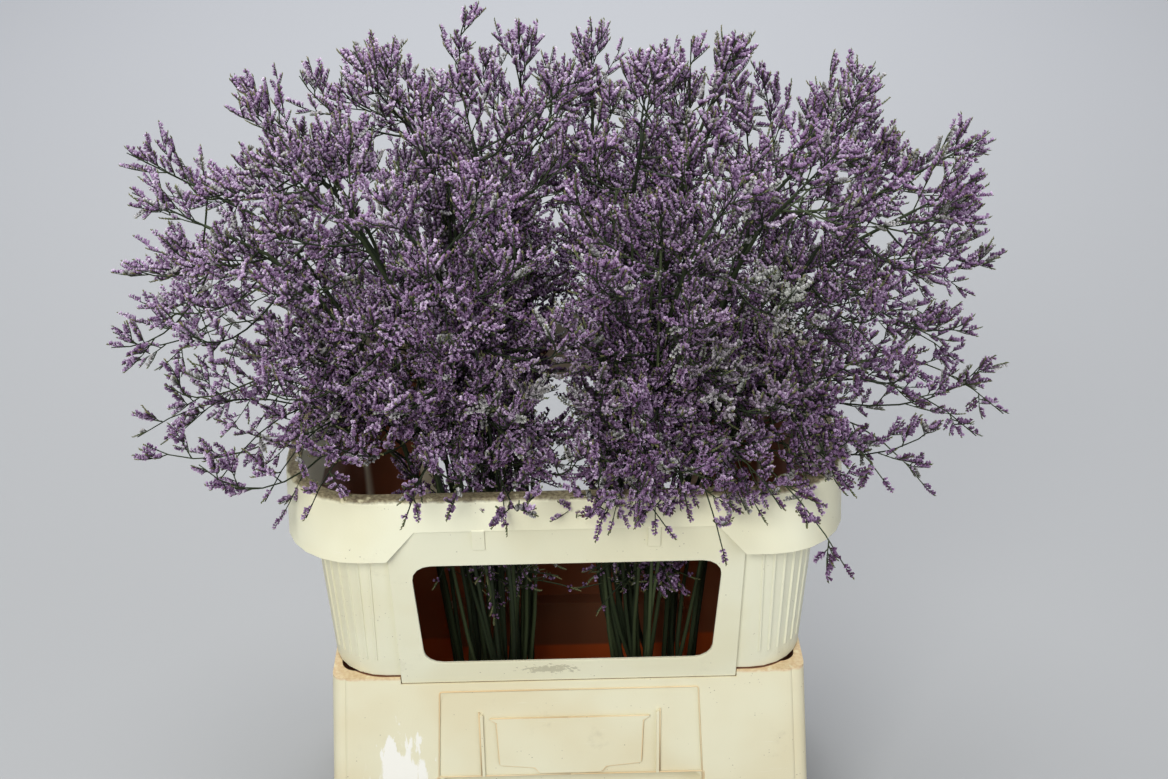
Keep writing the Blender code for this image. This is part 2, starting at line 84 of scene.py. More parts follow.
def linear(code: str) -> tuple[float, float, float, float]:
    """Convert an sRGB colour to linear light.

    Args:
        code: six hexadecimal digits.

    Returns:
        Red, green, blue and alpha.
    """
    values = [int(code[i : i + 2], 16) / 255 for i in (0, 2, 4)]
    light = [v / 12.92 if v <= 0.04045 else ((v + 0.055) / 1.055) ** 2.4 for v in values]
    return (*light, 1.0)


def link(name: str, data: bpy.types.ID) -> bpy.types.Object:
    """Put a mesh, camera or lamp into the scene.

    Args:
        name: the new object's name.
        data: what the object shows.

    Returns:
        The new object.
    """
    obj = bpy.data.objects.new(name, data)
    bpy.context.scene.collection.objects.link(obj)
    return obj


class Graph:
    """A material's node tree with short calls to add and join nodes."""

    def __init__(self, name: str) -> None:
        """Start a material with only its output node.

        Args:
            name: the material's name.
        """
        self.material = bpy.data.materials.new(name)
        self.material.use_nodes = True
        self.tree = self.material.node_tree
        self.tree.nodes.clear()
        self.output = self.tree.nodes.new("ShaderNodeOutputMaterial")
        coords = self.tree.nodes.new("ShaderNodeTexCoord")
        self.place = coords.outputs["Object"]

    def add(self, kind: str, inputs: dict | None = None, **settings) -> bpy.types.Node:
        """Add a node.

        Args:
            kind: the node's type without its ShaderNode prefix.
            inputs: socket name or number to a value or to another node's output.
            **settings: the node's own properties.

        Returns:
            The new node.
        """
        node = self.tree.nodes.new("ShaderNode" + kind)
        for name, value in settings.items():
            setattr(node, name, value)
        for key, value in (inputs or {}).items():
            if isinstance(value, bpy.types.NodeSocket):
                self.tree.links.new(value, node.inputs[key])
            else:
                node.inputs[key].default_value = value
        return node

    def math(self, operation: str, first, second=0.0) -> bpy.types.NodeSocket:
        """Join two values by a mathematical operation and give the result."""
        return self.add("Math", {0: first, 1: second}, operation=operation).outputs[0]

    def plus(self, first, second) -> bpy.types.NodeSocket:
        """Add two values."""
        return self.math("ADD", first, second)

    def minus(self, first, second) -> bpy.types.NodeSocket:
        """Take the second value from the first."""
        return self.math("SUBTRACT", first, second)

    def times(self, first, second) -> bpy.types.NodeSocket:
        """Multiply two values."""
        return self.math("MULTIPLY", first, second)

    def between(self, value, low: float, high: float, least=0.0, most=1.0) -> bpy.types.NodeSocket:
        """Map a value smoothly from one range to another, clamped."""
        inputs = {"Value": value, "From Min": low, "From Max": high, "To Min": least, "To Max": most}
        return self.add("MapRange", inputs, interpolation_type="SMOOTHSTEP").outputs["Result"]

    def mix(self, factor, first, second, blend: str = "MIX") -> bpy.types.NodeSocket:
        """Mix two colours by a factor."""
        node = self.add("Mix", data_type="RGBA", blend_type=blend)
        for key, value in ((0, factor), (6, first), (7, second)):
            if isinstance(value, bpy.types.NodeSocket):
                self.tree.links.new(value, node.inputs[key])
            else:
                node.inputs[key].default_value = value
        return node.outputs[2]

    def noise(self, scale: float, detail: float = 3.0, stretch=(1.0, 1.0, 1.0), rough=0.5):
        """Noise on the object's own coordinates, in waves per metre."""
        place = self.add("Mapping", {"Vector": self.place, "Scale": stretch}).outputs[0]
        inputs = {"Vector": place, "Scale": scale, "Detail": detail, "Roughness": rough}
        return self.add("TexNoise", inputs).outputs["Fac"]

    def cells(self, scale: float) -> bpy.types.NodeSocket:
        """Distance from the middles of scattered cells, in cells per metre."""
        return self.add("TexVoronoi", {"Vector": self.place, "Scale": scale}).outputs["Distance"]

    def ramp(self, value, stops: list[tuple[float, str]]) -> bpy.types.NodeSocket:
        """A colour ramp through stops of a place and an sRGB colour."""
        node = self.add("ValToRGB", {0: value})
        elements = node.color_ramp.elements
        while len(elements) < len(stops):
            elements.new(0.5)
        for element, (place, code) in zip(elements, stops):
            element.position = place
            element.color = linear(code)
        return node.outputs[0]

    def attribute(self, name: str) -> bpy.types.NodeSocket:
        """The value of a mesh's own attribute."""
        return self.add("Attribute", attribute_name=name).outputs["Fac"]

    def done(self, shader: bpy.types.NodeSocket) -> bpy.types.Material:
        """Join the last shader to the output and give the material."""
        self.tree.links.new(shader, self.output.inputs["Surface"])
        return self.material


@dataclass(frozen=True)
class Wear:
    """How cream plastic is worn: noise in waves a metre, spans of noise, and shares of each stain."""

    broad: float = 9.0
    grime: float = 38.0
    patches: float = 11.0
    stain: float = 0.35
    specks: float = 260.0
    speck_groups: float = 60.0
    speck: float = 0.55
    speck_colour: str = "5F4E3A"
    scratches: float = 30.0
    scratch_flat: float = 14.0
    scratch: float = 0.40
    scratch_colour: str = "F6F3E6"
    edge: float = 150.0
    edge_wander: float = 0.003
    rim_band: tuple[float, float] = (0.0030, 0.0008)
    rim_dots: float = 110.0
    flecks: float = 420.0
    grain: float = 700.0
    grain_deep: float = 0.0003
    gloss: tuple[float, float] = (0.42, 0.66)
    through: float = 0.10
    through_colour: str = "D98A4E"


@dataclass(frozen=True)
class Smudge:
    """An uneven mark on a front: its middle and half size in x and z, spread and strength."""

    middle: tuple[float, float]
    size: tuple[float, float]
    spread: float
    strength: float
    colour: str
    front_y: tuple[float, float] = (-0.098, -0.106)
    fades: tuple[float, float] = (0.95, 0.70)


LIME = (
    Smudge((-0.134, 0.132), (0.024, 0.030), 2.6, 0.55, "F3F1E6"),
    Smudge((-0.132, 0.137), (0.020, 0.028), 4.4, 0.75, "FCFBF7"),
)
LIME_NOISE = (70.0, 6.0, (2.0, 1.0, 0.55), 0.64)
SCUFF = (Smudge((-0.014, 0.2275), (0.020, 0.0045), 4.6, 0.45, "8E866C"),)
SCUFF_NOISE = (240.0, 5.0, (1.0, 1.0, 1.6), 0.68)


@dataclass(frozen=True)
class CreamPlastic:
    """Worn cream polyethylene, soiled on its rim, with brown painted shade on its inner side.

    The rim has two dirt colours, a clean one and a share. The inner side is found from the rounded
    rectangle of its outer wall: half length, half depth, corner radius and height, and how far the
    walls lean out for each metre up.
    """

    name: str
    light: str = "F0EFD6"
    dull: str = "EAE6C8"
    soil: str = "8C826A"
    rim: tuple[str, str, str, float] = ("5A4F39", "8F8566", "CFC7A2", 0.95)
    # painted shade for the inner side: two browns, and an orange-red low down as painted light coming through
    # the wall
    inside: tuple[str, str, str] = ("5E3C2A", "764A32", "B4501E")
    rim_z: float = 0.4
    base: tuple[float, float, float, float] = (0.1790, 0.1115, 0.0420, 0.2207)
    lean: tuple[float, float] = (0.0310, 0.2290)
    inner_depth: tuple[float, float] = (0.0011, 0.0018)
    inner_faces: tuple[tuple[float, float], ...] = ((-0.125, -0.145), (-0.060, -0.080))
    ledge_up: tuple[float, float] = (0.6, 0.8)
    ledge_z: tuple[float, float] = (0.05, 0.06)
    # heights where the inner side's painted shade fades out towards the rim, and below which it turns
    # orange-red as painted light
    shaded_z: tuple[float, float] = (0.392, 0.352)
    orange_z: tuple[float, float] = (0.084, 0.080)
    marks: tuple[Smudge, ...] = SCUFF
    marks_noise: tuple = SCUFF_NOISE
    wear: Wear = Wear()

    def material(self) -> bpy.types.Material:
        """Build the plastic.

        Returns:
            The material.
        """
        w = self.wear
        g = Graph(self.name)
        axes = g.add("SeparateXYZ", {0: g.place}).outputs
        broad = g.noise(w.broad, 3.0)
        colour = g.mix(g.between(broad, 0.35, 0.65), linear(self.light), linear(self.dull))

        grime = g.noise(w.grime, 7.0, rough=0.62)
        patches = g.noise(w.patches, 2.0)
        stain = g.times(g.between(grime, 0.56, 0.74), g.between(patches, 0.45, 0.7))
        colour = g.mix(g.times(stain, w.stain), colour, linear(self.soil))

        speck = g.between(g.cells(w.specks), 0.16, 0.08)
        speck = g.times(speck, g.between(g.noise(w.speck_groups, 2.0), 0.56, 0.64))
        colour = g.mix(g.times(speck, w.speck), colour, linear(w.speck_colour))

        scratches = g.noise(w.scratches, 5.0, (1.0, 1.0, w.scratch_flat), 0.7)
        scratch = g.times(g.between(scratches, 0.62, 0.72), g.between(patches, 0.5, 0.62))
        colour = g.mix(g.times(scratch, w.scratch), colour, linear(w.scratch_colour))

        colour = self.soiled_rim(g, axes, colour)
        colour = self.marked(g, axes, colour)
        # painted shade: the inner side is brown, and orange-red low down as painted light through the wall
        brown = g.mix(broad, linear(self.inside[0]), linear(self.inside[1]))
        brown = g.mix(g.between(axes[2], *self.orange_z), brown, linear(self.inside[2]))
        colour = g.mix(self.inner(g, axes), colour, brown)

        rough = g.between(grime, 0.3, 0.8, *w.gloss)
        height = g.plus(g.noise(w.grain, 3.0), scratch)
        bump = g.add("Bump", {"Strength": 0.25, "Distance": w.grain_deep, "Height": height})
        wall = {"Base Color": colour, "Roughness": rough, "Normal": bump.outputs[0], "IOR": 1.5}
        wall["Specular IOR Level"] = 0.35
        solid = g.add("BsdfPrincipled", wall).outputs[0]
        through = g.add("BsdfTranslucent", {"Color": linear(w.through_colour)}).outputs[0]
        return g.done(g.add("MixShader", {0: w.through, 1: solid, 2: through}).outputs[0])

    def soiled_rim(self, g: Graph, axes, colour):
        """Add the dirt on the top edge, with clean dots where it has rubbed off."""
        w = self.wear
        edge = g.noise(w.edge, 4.0, rough=0.65)
        height = g.plus(axes[2], g.times(g.minus(edge, 0.5), w.edge_wander))
        top = g.between(height, *(self.rim_z - below for below in w.rim_band))
        clean = g.times(g.between(g.cells(w.rim_dots), 0.34, 0.22), g.between(edge, 0.45, 0.6))
        flecks = g.between(g.noise(w.flecks, 3.0), 0.35, 0.65)
        dirt = g.mix(flecks, linear(self.rim[0]), linear(self.rim[1]))
        dirt = g.mix(clean, dirt, linear(self.rim[2]))
        return g.mix(g.times(top, self.rim[3]), colour, dirt)

    def inner(self, g: Graph, axes):
        """How far a point is on the inner side that gets brown painted shade, by where it is and which way it
        faces.
        """
        normal = g.add("SeparateXYZ", {0: g.add("NewGeometry").outputs["Normal"]}).outputs
        radius, base_z = self.base[2:]
        above = g.minus(axes[2], base_z)
        gaps = []
        for axis in (0, 1):
            half = g.plus(g.times(above, self.lean[axis]), self.base[axis] - radius)
            gap = g.minus(g.math("ABSOLUTE", axes[axis]), half)
            gaps.append(g.math("POWER", g.math("MAXIMUM", gap, 0.0), 2.0))
        deep = g.between(g.math("SQRT", g.plus(*gaps)), *(radius - depth for depth in self.inner_depth))
        faces = [
            g.between(g.times(axes[axis], normal[axis]), *limits)
            for axis, limits in enumerate(self.inner_faces)
        ]
        ledge = g.times(g.between(normal[2], *self.ledge_up), g.between(axes[2], *self.ledge_z))
        turned = g.math("MAXIMUM", g.math("MAXIMUM", *faces), ledge)
        return g.times(g.times(turned, deep), g.between(axes[2], *self.shaded_z))

    def marked(self, g: Graph, axes, colour):
        """Add the marks on the front, all with edges from the same noise."""
        ragged = g.noise(*self.marks_noise)
        for mark in self.marks:
            across = g.math("DIVIDE", g.minus(axes[0], mark.middle[0]), mark.size[0])
            down = g.math("DIVIDE", g.minus(axes[2], mark.middle[1]), mark.size[1])
            far = g.math("SQRT", g.plus(g.times(across, across), g.times(down, down)))
            reach = g.plus(far, g.times(g.minus(ragged, 0.5), mark.spread))
            share = g.times(g.between(reach, *mark.fades), g.between(axes[1], *mark.front_y))
            colour = g.mix(g.times(share, mark.strength), colour, linear(mark.colour))
        return colour


@dataclass(frozen=True)
class Papery:
    """Stems, bracts and florets, coloured by how far along its spike and floret a point is."""

    name: str = "statice"
    stops: tuple[float, ...] = (0.00, 0.10, 0.20, 0.29, 0.38, 0.46, 0.58, 0.72, 0.86, 1.00)
    fresh: tuple[str, ...] = (
        "161D12", "28321E", "4A5434", "6E6646", "5C3B36", "452A40", "77577E", "B092B8", "E0CEE6", "FAF4FB",
    )
    faded: tuple[str, ...] = (
        "1A2114", "2F3A22", "566040", "7A7654", "6E6A50", "626256", "8E9088", "BCBDB8", "DCDDDA", "F5F4F2",
    )
    mottle: float = 420.0
    mottled: float = 0.15
    mottle_colour: str = "3A2B38"
    thin_from: tuple[float, float] = (0.5, 0.6)
    through: float = 0.35

    def material(self) -> bpy.types.Material:
        """Build the plant's material from its tint and fade attributes.

        Returns:
            The material.
        """
        g = Graph(self.name)
        tint, fade = g.attribute("tint"), g.attribute("fade")
        fresh, faded = (g.ramp(tint, list(zip(self.stops, codes))) for codes in (self.fresh, self.faded))
        colour = g.mix(fade, fresh, faded)
        mottled = g.between(g.noise(self.mottle, 2.0), 0.35, 0.7, 0.0, self.mottled)
        colour = g.mix(mottled, colour, linear(self.mottle_colour), "MULTIPLY")
        solid = g.add("BsdfPrincipled", {"Base Color": colour, "Roughness": 0.75, "Specular IOR Level": 0.25})
        through = g.add("BsdfTranslucent", {"Color": colour})
        thin = g.between(tint, *self.thin_from, 0.0, self.through)
        return g.done(g.add("MixShader", {0: thin, 1: solid.outputs[0], 2: through.outputs[0]}).outputs[0])


@dataclass(frozen=True)
class CrownPlan:
    """Sizes from which the frame's stems and shoots are grown, in metres, as the part's source has them."""

    # the crown: a rounded box, and where the shoots end on and in it
    half: tuple[float, float, float] = (0.325, 0.215, 0.205)
    middle_z: float = 0.452
    power: float = 2.5
    stems: int = 20
    bunch_x: tuple[float, float] = (-0.060, 0.072)
    shells: tuple[tuple[int, float], ...] = ((142, 0.98), (62, 0.74), (16, 0.50))
    pool: int = 3000
    low: float = -0.16
    set_ends: tuple[tuple[float, float, float], ...] = (
        (0.207, -0.178, 0.352), (0.120, -0.180, 0.372), (0.068, -0.180, 0.384), (0.165, -0.180, 0.380),
        (0.335, -0.020, 0.385), (-0.285, -0.030, 0.392), (-0.200, -0.178, 0.420), (0.262, -0.110, 0.372),
        (-0.030, -0.165, 0.500), (0.012, -0.170, 0.455), (-0.045, -0.165, 0.440), (0.000, -0.150, 0.545),
        (-0.078, -0.020, 0.696), (0.092, -0.015, 0.680), (-0.140, 0.010, 0.668),
    )
    # the main stems, from the bucket's floor into the crown
    bunch: tuple[float, float, float] = (0.47, 0.43, 0.80)
    tip_rise: float = 0.80
    foot_follows: tuple[float, float] = (0.22, 0.26)
    foot_z: float = 0.0033
    knee: tuple[float, float, float] = (1.10, 1.15, 0.24)
    bend: tuple[float, float, float, float] = (0.42, 0.52, 0.012, 0.515)
    stem_r: tuple[float, float] = (0.0024, 0.0012)
    stem_lengths: int = 9
    # the shoots: how they turn up and aside, and hang over the rim
    shoot_r: float = 0.0011
    straight: float = 0.10
    lift: tuple[float, float] = (0.55, 1.0)
    aside: float = 0.6
    bend_most: float = math.radians(62)
    bare: float = 0.30
    shaft_mid: float = 0.55
    reach: tuple[float, float] = (0.035, 0.24)
    turn: float = math.radians(42)
    overhang_rise: float = 0.085
    # the collar, which they keep clear of
    rim_z: float = 0.400
    band_z: float = 0.350
    inner: tuple[float, float, float] = (0.1925, 0.1425, 0.0565)
    outer: tuple[float, float, float] = (0.2010, 0.1510, 0.0560)
    wall: float = 0.0025
    collar_room: float = 0.002
    collar_narrows: float = 0.012
    # where shoots leave the stems, and how a place for each is found
    uneven: tuple[float, float] = (0.95, 1.04)
    joints: int = 34
    joint_low_z: float = 0.33
    joint_range: tuple[float, float] = (0.25, 0.97)
    joint_ahead: float = 0.02
    costs: tuple[float, float] = (0.10, 0.004)
    tries: int = 5
    attempts: int = 8
    jitter: float = 0.004
    spike: float = 0.066
    spike_rings: int = 6
    spike_room: float = 0.0106
    clear: float = 0.0014
    own_free: int = 14
    seed: int = 7


def on_curve(points, places) -> np.ndarray:
    """Points at places from 0 to 1 along a Bezier curve."""
    power = len(points) - 1
    places = np.asarray(places, float)[:, None]
    return sum(
        math.comb(power, i) * places**i * (1 - places) ** (power - i) * np.asarray(point, float)
        for i, point in enumerate(points)
    )


def on_lengths(curve, knots, places) -> np.ndarray:
    """Points along the straight lengths between a curve's knots."""
    corners = on_curve(curve, knots)
    return np.column_stack([np.interp(places, knots, corners[:, axis]) for axis in range(3)])


def place_and_way(curve, t: float, step: float) -> tuple[Vector, Vector]:
    """A place on a curve, and the direction that the curve takes there."""
    here, ahead = (Vector(q) for q in on_curve(curve, (t, min(1.0, t + step))))
    return here, (ahead - here).normalized()


def tip_and_way(points) -> tuple[Vector, Vector, Vector]:
    """The last point of a line, the one before it, and the direction between them."""
    end, before = Vector(points[-1]), Vector(points[-2])
    return end, before, (end - before).normalized()


class Skeleton:
    """The stems and shoots of the frame, grown again by the same seeded rule."""

    def __init__(self, plan: CrownPlan) -> None:
        """Grow the skeleton.

        Args:
            plan: the sizes it grows from.
        """
        self.plan = plan
        self.stems = self.stem_curves()
        self.shoots: list[list] = [[] for _ in self.stems]
        self.grow()

    def stem_knots(self) -> np.ndarray:
        """Where along its curve a main stem has its rings."""
        return np.linspace(0, 1, self.plan.stem_lengths + 1)

    def shoot_knots(self, curve) -> np.ndarray:
        """Where along its curve a shoot has its rings."""
        begin = self.spike_start(curve)
        spike = np.linspace(begin, 1, self.plan.spike_rings)
        return np.concatenate([(0.0, begin * self.plan.shaft_mid), spike])

    def spike_start(self, curve) -> float:
        """Where along a shoot its flowering end begins."""
        return max(self.plan.bare, 1 - self.plan.spike / (curve[-1] - curve[0]).length)

    def stem_curves(self) -> list:
        """Main stems, each from the bucket's floor into the crown."""
        p = self.plan
        curves = []
        for index in range(p.stems):
            side = 1 if index % 2 else -1
            pair = index // 2
            azimuth = pair * GOLDEN
            spread = math.sqrt((pair + 0.6) / (p.stems / 2))
            across, back = spread * math.cos(azimuth), spread * math.sin(azimuth)
            flat = Vector((side * (p.bunch[0] + p.bunch[1] * across), p.bunch[2] * back, 0))
            tip_x, tip_y = flat.x * p.half[0], flat.y * p.half[1]
            left = max(0.0, 1 - abs(flat.x) ** p.power - abs(flat.y) ** p.power)
            tip_z = p.middle_z + p.tip_rise * p.half[2] * left ** (1 / p.power)
            off_middle = tip_x - side * p.bunch[0] * p.half[0]
            foot_x = p.bunch_x[side > 0] + p.foot_follows[0] * off_middle
            foot = (foot_x, p.foot_follows[1] * tip_y, p.foot_z)
            knee = (foot[0] * p.knee[0], foot[1] * p.knee[1], p.knee[2])
            bend = (tip_x * p.bend[0] + side * p.bend[2], tip_y * p.bend[1], p.bend[3])
            curves.append([foot, knee, bend, (tip_x, tip_y, tip_z)])
        return curves

    def reach(self, direction) -> float:
        """Distance from the crown's centre to its surface along a direction."""
        total = sum((abs(v) / half) ** self.plan.power for v, half in zip(direction, self.plan.half))
        return total ** (-1 / self.plan.power)

    def even_points(self, count: int, shell: float) -> list:
        """Points spread evenly over the crown, each as far as can be from those before it."""
        p = self.plan
        pool = []
        for index in range(p.pool):
            rise = p.low + (1 - p.low) * (index + 0.5) / p.pool
            level = math.sqrt(1 - rise * rise)
            direction = (level * math.cos(index * GOLDEN), level * math.sin(index * GOLDEN), rise)
            pool.append(np.array(direction) * self.reach(direction) * shell)
        pool = np.array(pool)
        chosen = [len(pool) - 1]
        nearest = np.linalg.norm(pool - pool[chosen[0]], axis=1)
        while len(chosen) < count:
            chosen.append(int(nearest.argmax()))
            nearest = np.minimum(nearest, np.linalg.norm(pool - pool[chosen[-1]], axis=1))
        return [Vector(pool[i]) for i in chosen]

    def targets(self, rng: random.Random) -> list:
        """Where the flowering shoots end."""
        targets = [Vector(point) for point in self.plan.set_ends]
        for count, shell in self.plan.shells:
            for point in self.even_points(count, shell):
                point *= rng.uniform(*self.plan.uneven)
                targets.append(point + Vector((0, 0, self.plan.middle_z)))
        return targets

    @staticmethod
    def inside_rounded(x: float, y: float, size) -> bool:
        """Whether a point lies in a rounded rectangle round the origin."""
        dx, dy = max(0.0, x - size[0] + size[2]), max(0.0, y - size[1] + size[2])
        return math.hypot(dx, dy) < size[2] and x < size[0] and y < size[1]

    def clear_of_collar(self, point, radius: float) -> bool:
        """Whether a ball is clear of the collar's rim."""
        p = self.plan
        x, y, z = abs(point[0]), abs(point[1]), point[2]
        room = radius + p.collar_room
        if z > p.rim_z + room:
            return True
        inner = (p.inner[0] - p.wall - room, p.inner[1] - p.wall - room, p.inner[2])
        outer = (p.outer[0] + room, p.outer[1] + room, p.outer[2])
        if z < p.band_z:
            inner = tuple(value - p.collar_narrows for value in inner)
        return self.inside_rounded(x, y, inner) or not self.inside_rounded(x, y, outer)

    def shoot_curve(self, start, target, lift: float, aside: float) -> list:
        """Control points of a shoot, which turns up and aside towards its end, or hangs over the rim."""
        p = self.plan
        reach = target - start
        outward = (target - Vector((target.x * 0.5, 0, p.middle_z))).normalized()
        if target.z < p.rim_z + 0.02:
            control = start.lerp(target, 0.5) + Vector((0, 0, p.overhang_rise))
        else:
            ending = (outward * (1 - lift) + Vector((aside, 0, lift))).normalized()
            turned = ending.angle(reach)
            if turned > p.bend_most:
                ending = reach.normalized().slerp(ending, p.bend_most / turned)
            control = target - ending * reach.length * 0.5
            control = control.lerp(start.lerp(target, 0.5), p.straight)
        return [start, control, target]

    def balls_along(self, curve, knots, begin, thin, thick, owner, count=40) -> np.ndarray:
        """Balls that cover a stem or shoot, and their owner."""
        places = np.linspace(0, 1, count + 1)
        radii = np.where(places < begin, thin, thick)
        return np.column_stack((on_lengths(curve, knots, places), radii, np.full(count + 1, owner)))

    def touches(self, balls, others) -> bool:
        """Whether any ball of one set comes within the clearance of another set."""
        room = balls[:, 3].max() + others[:, 3].max() + self.plan.clear
        near = (others[:, :3] > balls[:, :3].min(0) - room) & (others[:, :3] < balls[:, :3].max(0) + room)
        others = others[near.all(axis=1)]
        apart = np.linalg.norm(balls[:, None, :3] - others[None, :, :3], axis=2)
        return bool((apart < balls[:, None, 3] + others[None, :, 3] + self.plan.clear).any())

    def all_joints(self) -> list:
        """The places on every stem where a shoot may leave it, with the stem's direction there."""
        p = self.plan
        joints = []
        places = np.linspace(*p.joint_range, p.joints)
        for index, curve in enumerate(self.stems):
            points = on_lengths(curve, self.stem_knots(), places)
            ahead = on_curve(curve, places + p.joint_ahead) - on_curve(curve, places)
            for point, along in zip(points, ahead):
                if point[2] > p.joint_low_z:
                    joints.append((index, Vector(point), Vector(along).normalized()))
        return joints

    def best_joints(self, joints, target) -> list:
        """Joints to try for a shoot, best first."""
        p = self.plan
        order = []
        for index, start, along in joints:
            reach = target - start
            if p.reach[0] < reach.length < p.reach[1]:
                turn = abs(reach.angle(along) - p.turn)
                cost = reach.length + p.costs[0] * turn + p.costs[1] * len(self.shoots[index])
                order.append((cost, index, start))
        order.sort(key=lambda entry: entry[0])
        kept, used = [], [0] * p.stems
        for _, index, start in order:
            if used[index] < p.tries:
                kept.append((index, start))
                used[index] += 1
        return kept[: p.tries * 6]

    def grow(self) -> None:
        """Place every shoot that is clear of the others."""
        p = self.plan
        rng = random.Random(p.seed)
        balls = [
            self.balls_along(curve, self.stem_knots(), 1.0, *p.stem_r, i, 150)
            for i, curve in enumerate(self.stems)
        ]
        for index, curve in enumerate(self.stems):
            start, end = (Vector(q) for q in on_lengths(curve, self.stem_knots(), (p.joint_range[1], 1)))
            along = (end - start).normalized() * p.spike
            last = [start, start + along / 2, start + along]
            self.shoots[index].append(last)
            balls.append(self.balls_along(last, self.shoot_knots(last), 0, p.shoot_r, p.spike_room, index))
        taken = np.concatenate(balls)
        joints = self.all_joints()
        for target in self.targets(rng):
            for attempt in range(p.attempts):
                place = target + Vector([rng.uniform(-1, 1) * p.jitter * attempt for _ in range(3)])
                bend = rng.uniform(*p.lift), rng.uniform(-p.aside, p.aside)
                found = self.place(place, bend, joints, taken)
                if found is not None:
                    taken = np.concatenate([taken, found])
                    break

    def place(self, target, bend, joints, taken):
        """Add a shoot to the first joint where it is clear, and give its balls."""
        p = self.plan
        for index, start in self.best_joints(joints, target):
            curve = self.shoot_curve(start, target, *bend)
            begin = self.spike_start(curve)
            balls = self.balls_along(curve, self.shoot_knots(curve), begin, p.shoot_r, p.spike_room, index)
            own = taken[:, 4] == index
            if self.touches(balls, taken[~own]) or self.touches(balls[p.own_free :], taken[own]):
                continue
            if all(self.clear_of_collar(ball[:3], ball[3]) for ball in balls):
                self.shoots[index].append(curve)
                joints[:] = [joint for joint in joints if joint[1] is not start]
                return balls
        return None


@dataclass
class Cloud:
    """Loose triangles with a tint and a fade at each corner."""

    points: np.ndarray
    faces: np.ndarray
    tint: np.ndarray
    fade: np.ndarray

    @classmethod
    def joined(cls, clouds: list["Cloud"]) -> "Cloud":
        """Put several clouds into one.

        Args:
            clouds: the clouds to join.

        Returns:
            One cloud with them all.
        """
        starts = np.cumsum([0] + [len(c.points) for c in clouds[:-1]])
        return cls(
            np.concatenate([c.points for c in clouds]),
            np.concatenate([c.faces + start for c, start in zip(clouds, starts)]),
            np.concatenate([c.tint for c in clouds]),
            np.concatenate([c.fade for c in clouds]),
        )

    def object(self, name: str, material: bpy.types.Material) -> bpy.types.Object:
        """Turn the cloud into an object of the scene.

        Args:
            name: the object's name.
            material: its material.

        Returns:
            The new object.
        """
        mesh = bpy.data.meshes.new(name)
        count = len(self.faces)
        mesh.vertices.add(len(self.points))
        mesh.vertices.foreach_set("co", self.points.astype(np.float32).ravel())
        mesh.loops.add(count * 3)
        mesh.loops.foreach_set("vertex_index", self.faces.astype(np.int32).ravel())
        mesh.polygons.add(count)
        mesh.polygons.foreach_set("loop_start", np.arange(0, count * 3, 3, dtype=np.int32))
        for label, values in (("tint", self.tint), ("fade", self.fade)):
            layer = mesh.attributes.new(label, "FLOAT", "POINT")
            layer.data.foreach_set("value", values.astype(np.float32))
        mesh.update(calc_edges=True)
        mesh.validate()
        mesh.materials.append(material)
        return link(name, mesh)


def swept(points: np.ndarray, radii: np.ndarray, sides: int, tint, fade: float) -> Cloud:
    """A closed tube of triangles along points.

    Args:
        points: the centre line.
        radii: the radius at each point.
        sides: how many sides the tube has.
        tint: the tint at each point, or one for all.
        fade: how faded the tube is.

    Returns:
        The tube.
    """
    count = len(points)
    ahead = np.gradient(points, axis=0)
    ahead /= np.linalg.norm(ahead, axis=1)[:, None]
    helper = np.eye(3)[np.abs(ahead).mean(0).argmin()]
    across = np.cross(ahead, helper)
    across /= np.linalg.norm(across, axis=1)[:, None]
    other = np.cross(ahead, across)
    angles = np.arange(sides) * math.tau / sides
    ring = across[:, None] * np.cos(angles)[None, :, None] + other[:, None] * np.sin(angles)[None, :, None]
    body = (points[:, None] + ring * np.asarray(radii)[:, None, None]).reshape(-1, 3)
    low = np.arange(count - 1)[:, None] * sides + np.arange(sides)[None]
    nxt = np.arange(count - 1)[:, None] * sides + (np.arange(sides)[None] + 1) % sides
    faces = [np.stack([low, nxt, low + sides], -1), np.stack([nxt, nxt + sides, low + sides], -1)]
    caps = [[0, i + 1, i] for i in range(1, sides - 1)]
    last = (count - 1) * sides
    caps += [[last, last + i, last + i + 1] for i in range(1, sides - 1)]
    faces = np.concatenate([f.reshape(-1, 3) for f in faces] + [np.array(caps)])
    tints = np.repeat(np.broadcast_to(tint, count), sides)
    return Cloud(body, faces, tints.astype(float), np.full(len(body), fade))


@dataclass(frozen=True)
class SpikeShape:
    """Sizes of one short flowering spike, whose florets stand in two rows on its upper side."""

    florets: int
    buds: int
    bloom: float
    arch: float
    length: float = 0.0140
    bare: float = 0.12
    floret_long: float = 0.0040
    floret_r: float = 0.00125
    sides: int = 4
    bud_long: float = 0.0024
    bud_r: float = 0.0008
    bud_sides: int = 3
    axis_r: float = 0.0005
    axis_taper: float = 0.6
    shrinks: tuple[float, float] = (1.05, 0.25)
    bud_shrinks: tuple[float, float] = (1.25, 0.50)
    lean_aside: tuple[float, float] = (0.25, 0.75)
    lean_ahead: tuple[float, float] = (0.3, 0.9)
    bud_lean: tuple[float, float, float] = (0.5, 1.1, 0.7)
    varies: tuple[float, float] = (0.8, 1.15)
    foot_tint: tuple[float, float] = (0.22, 0.42)
    mouth_tint: tuple[float, float] = (0.76, 0.93)
    mouth_varies: tuple[float, float] = (-0.10, 0.07)
    mouth_wide: tuple[float, float] = (0.8, 1.25)
    mouth_high: tuple[float, float] = (0.85, 1.1)
    bud_tint: float = 0.22
    bud_varies: tuple[float, float] = (-0.07, 0.09)


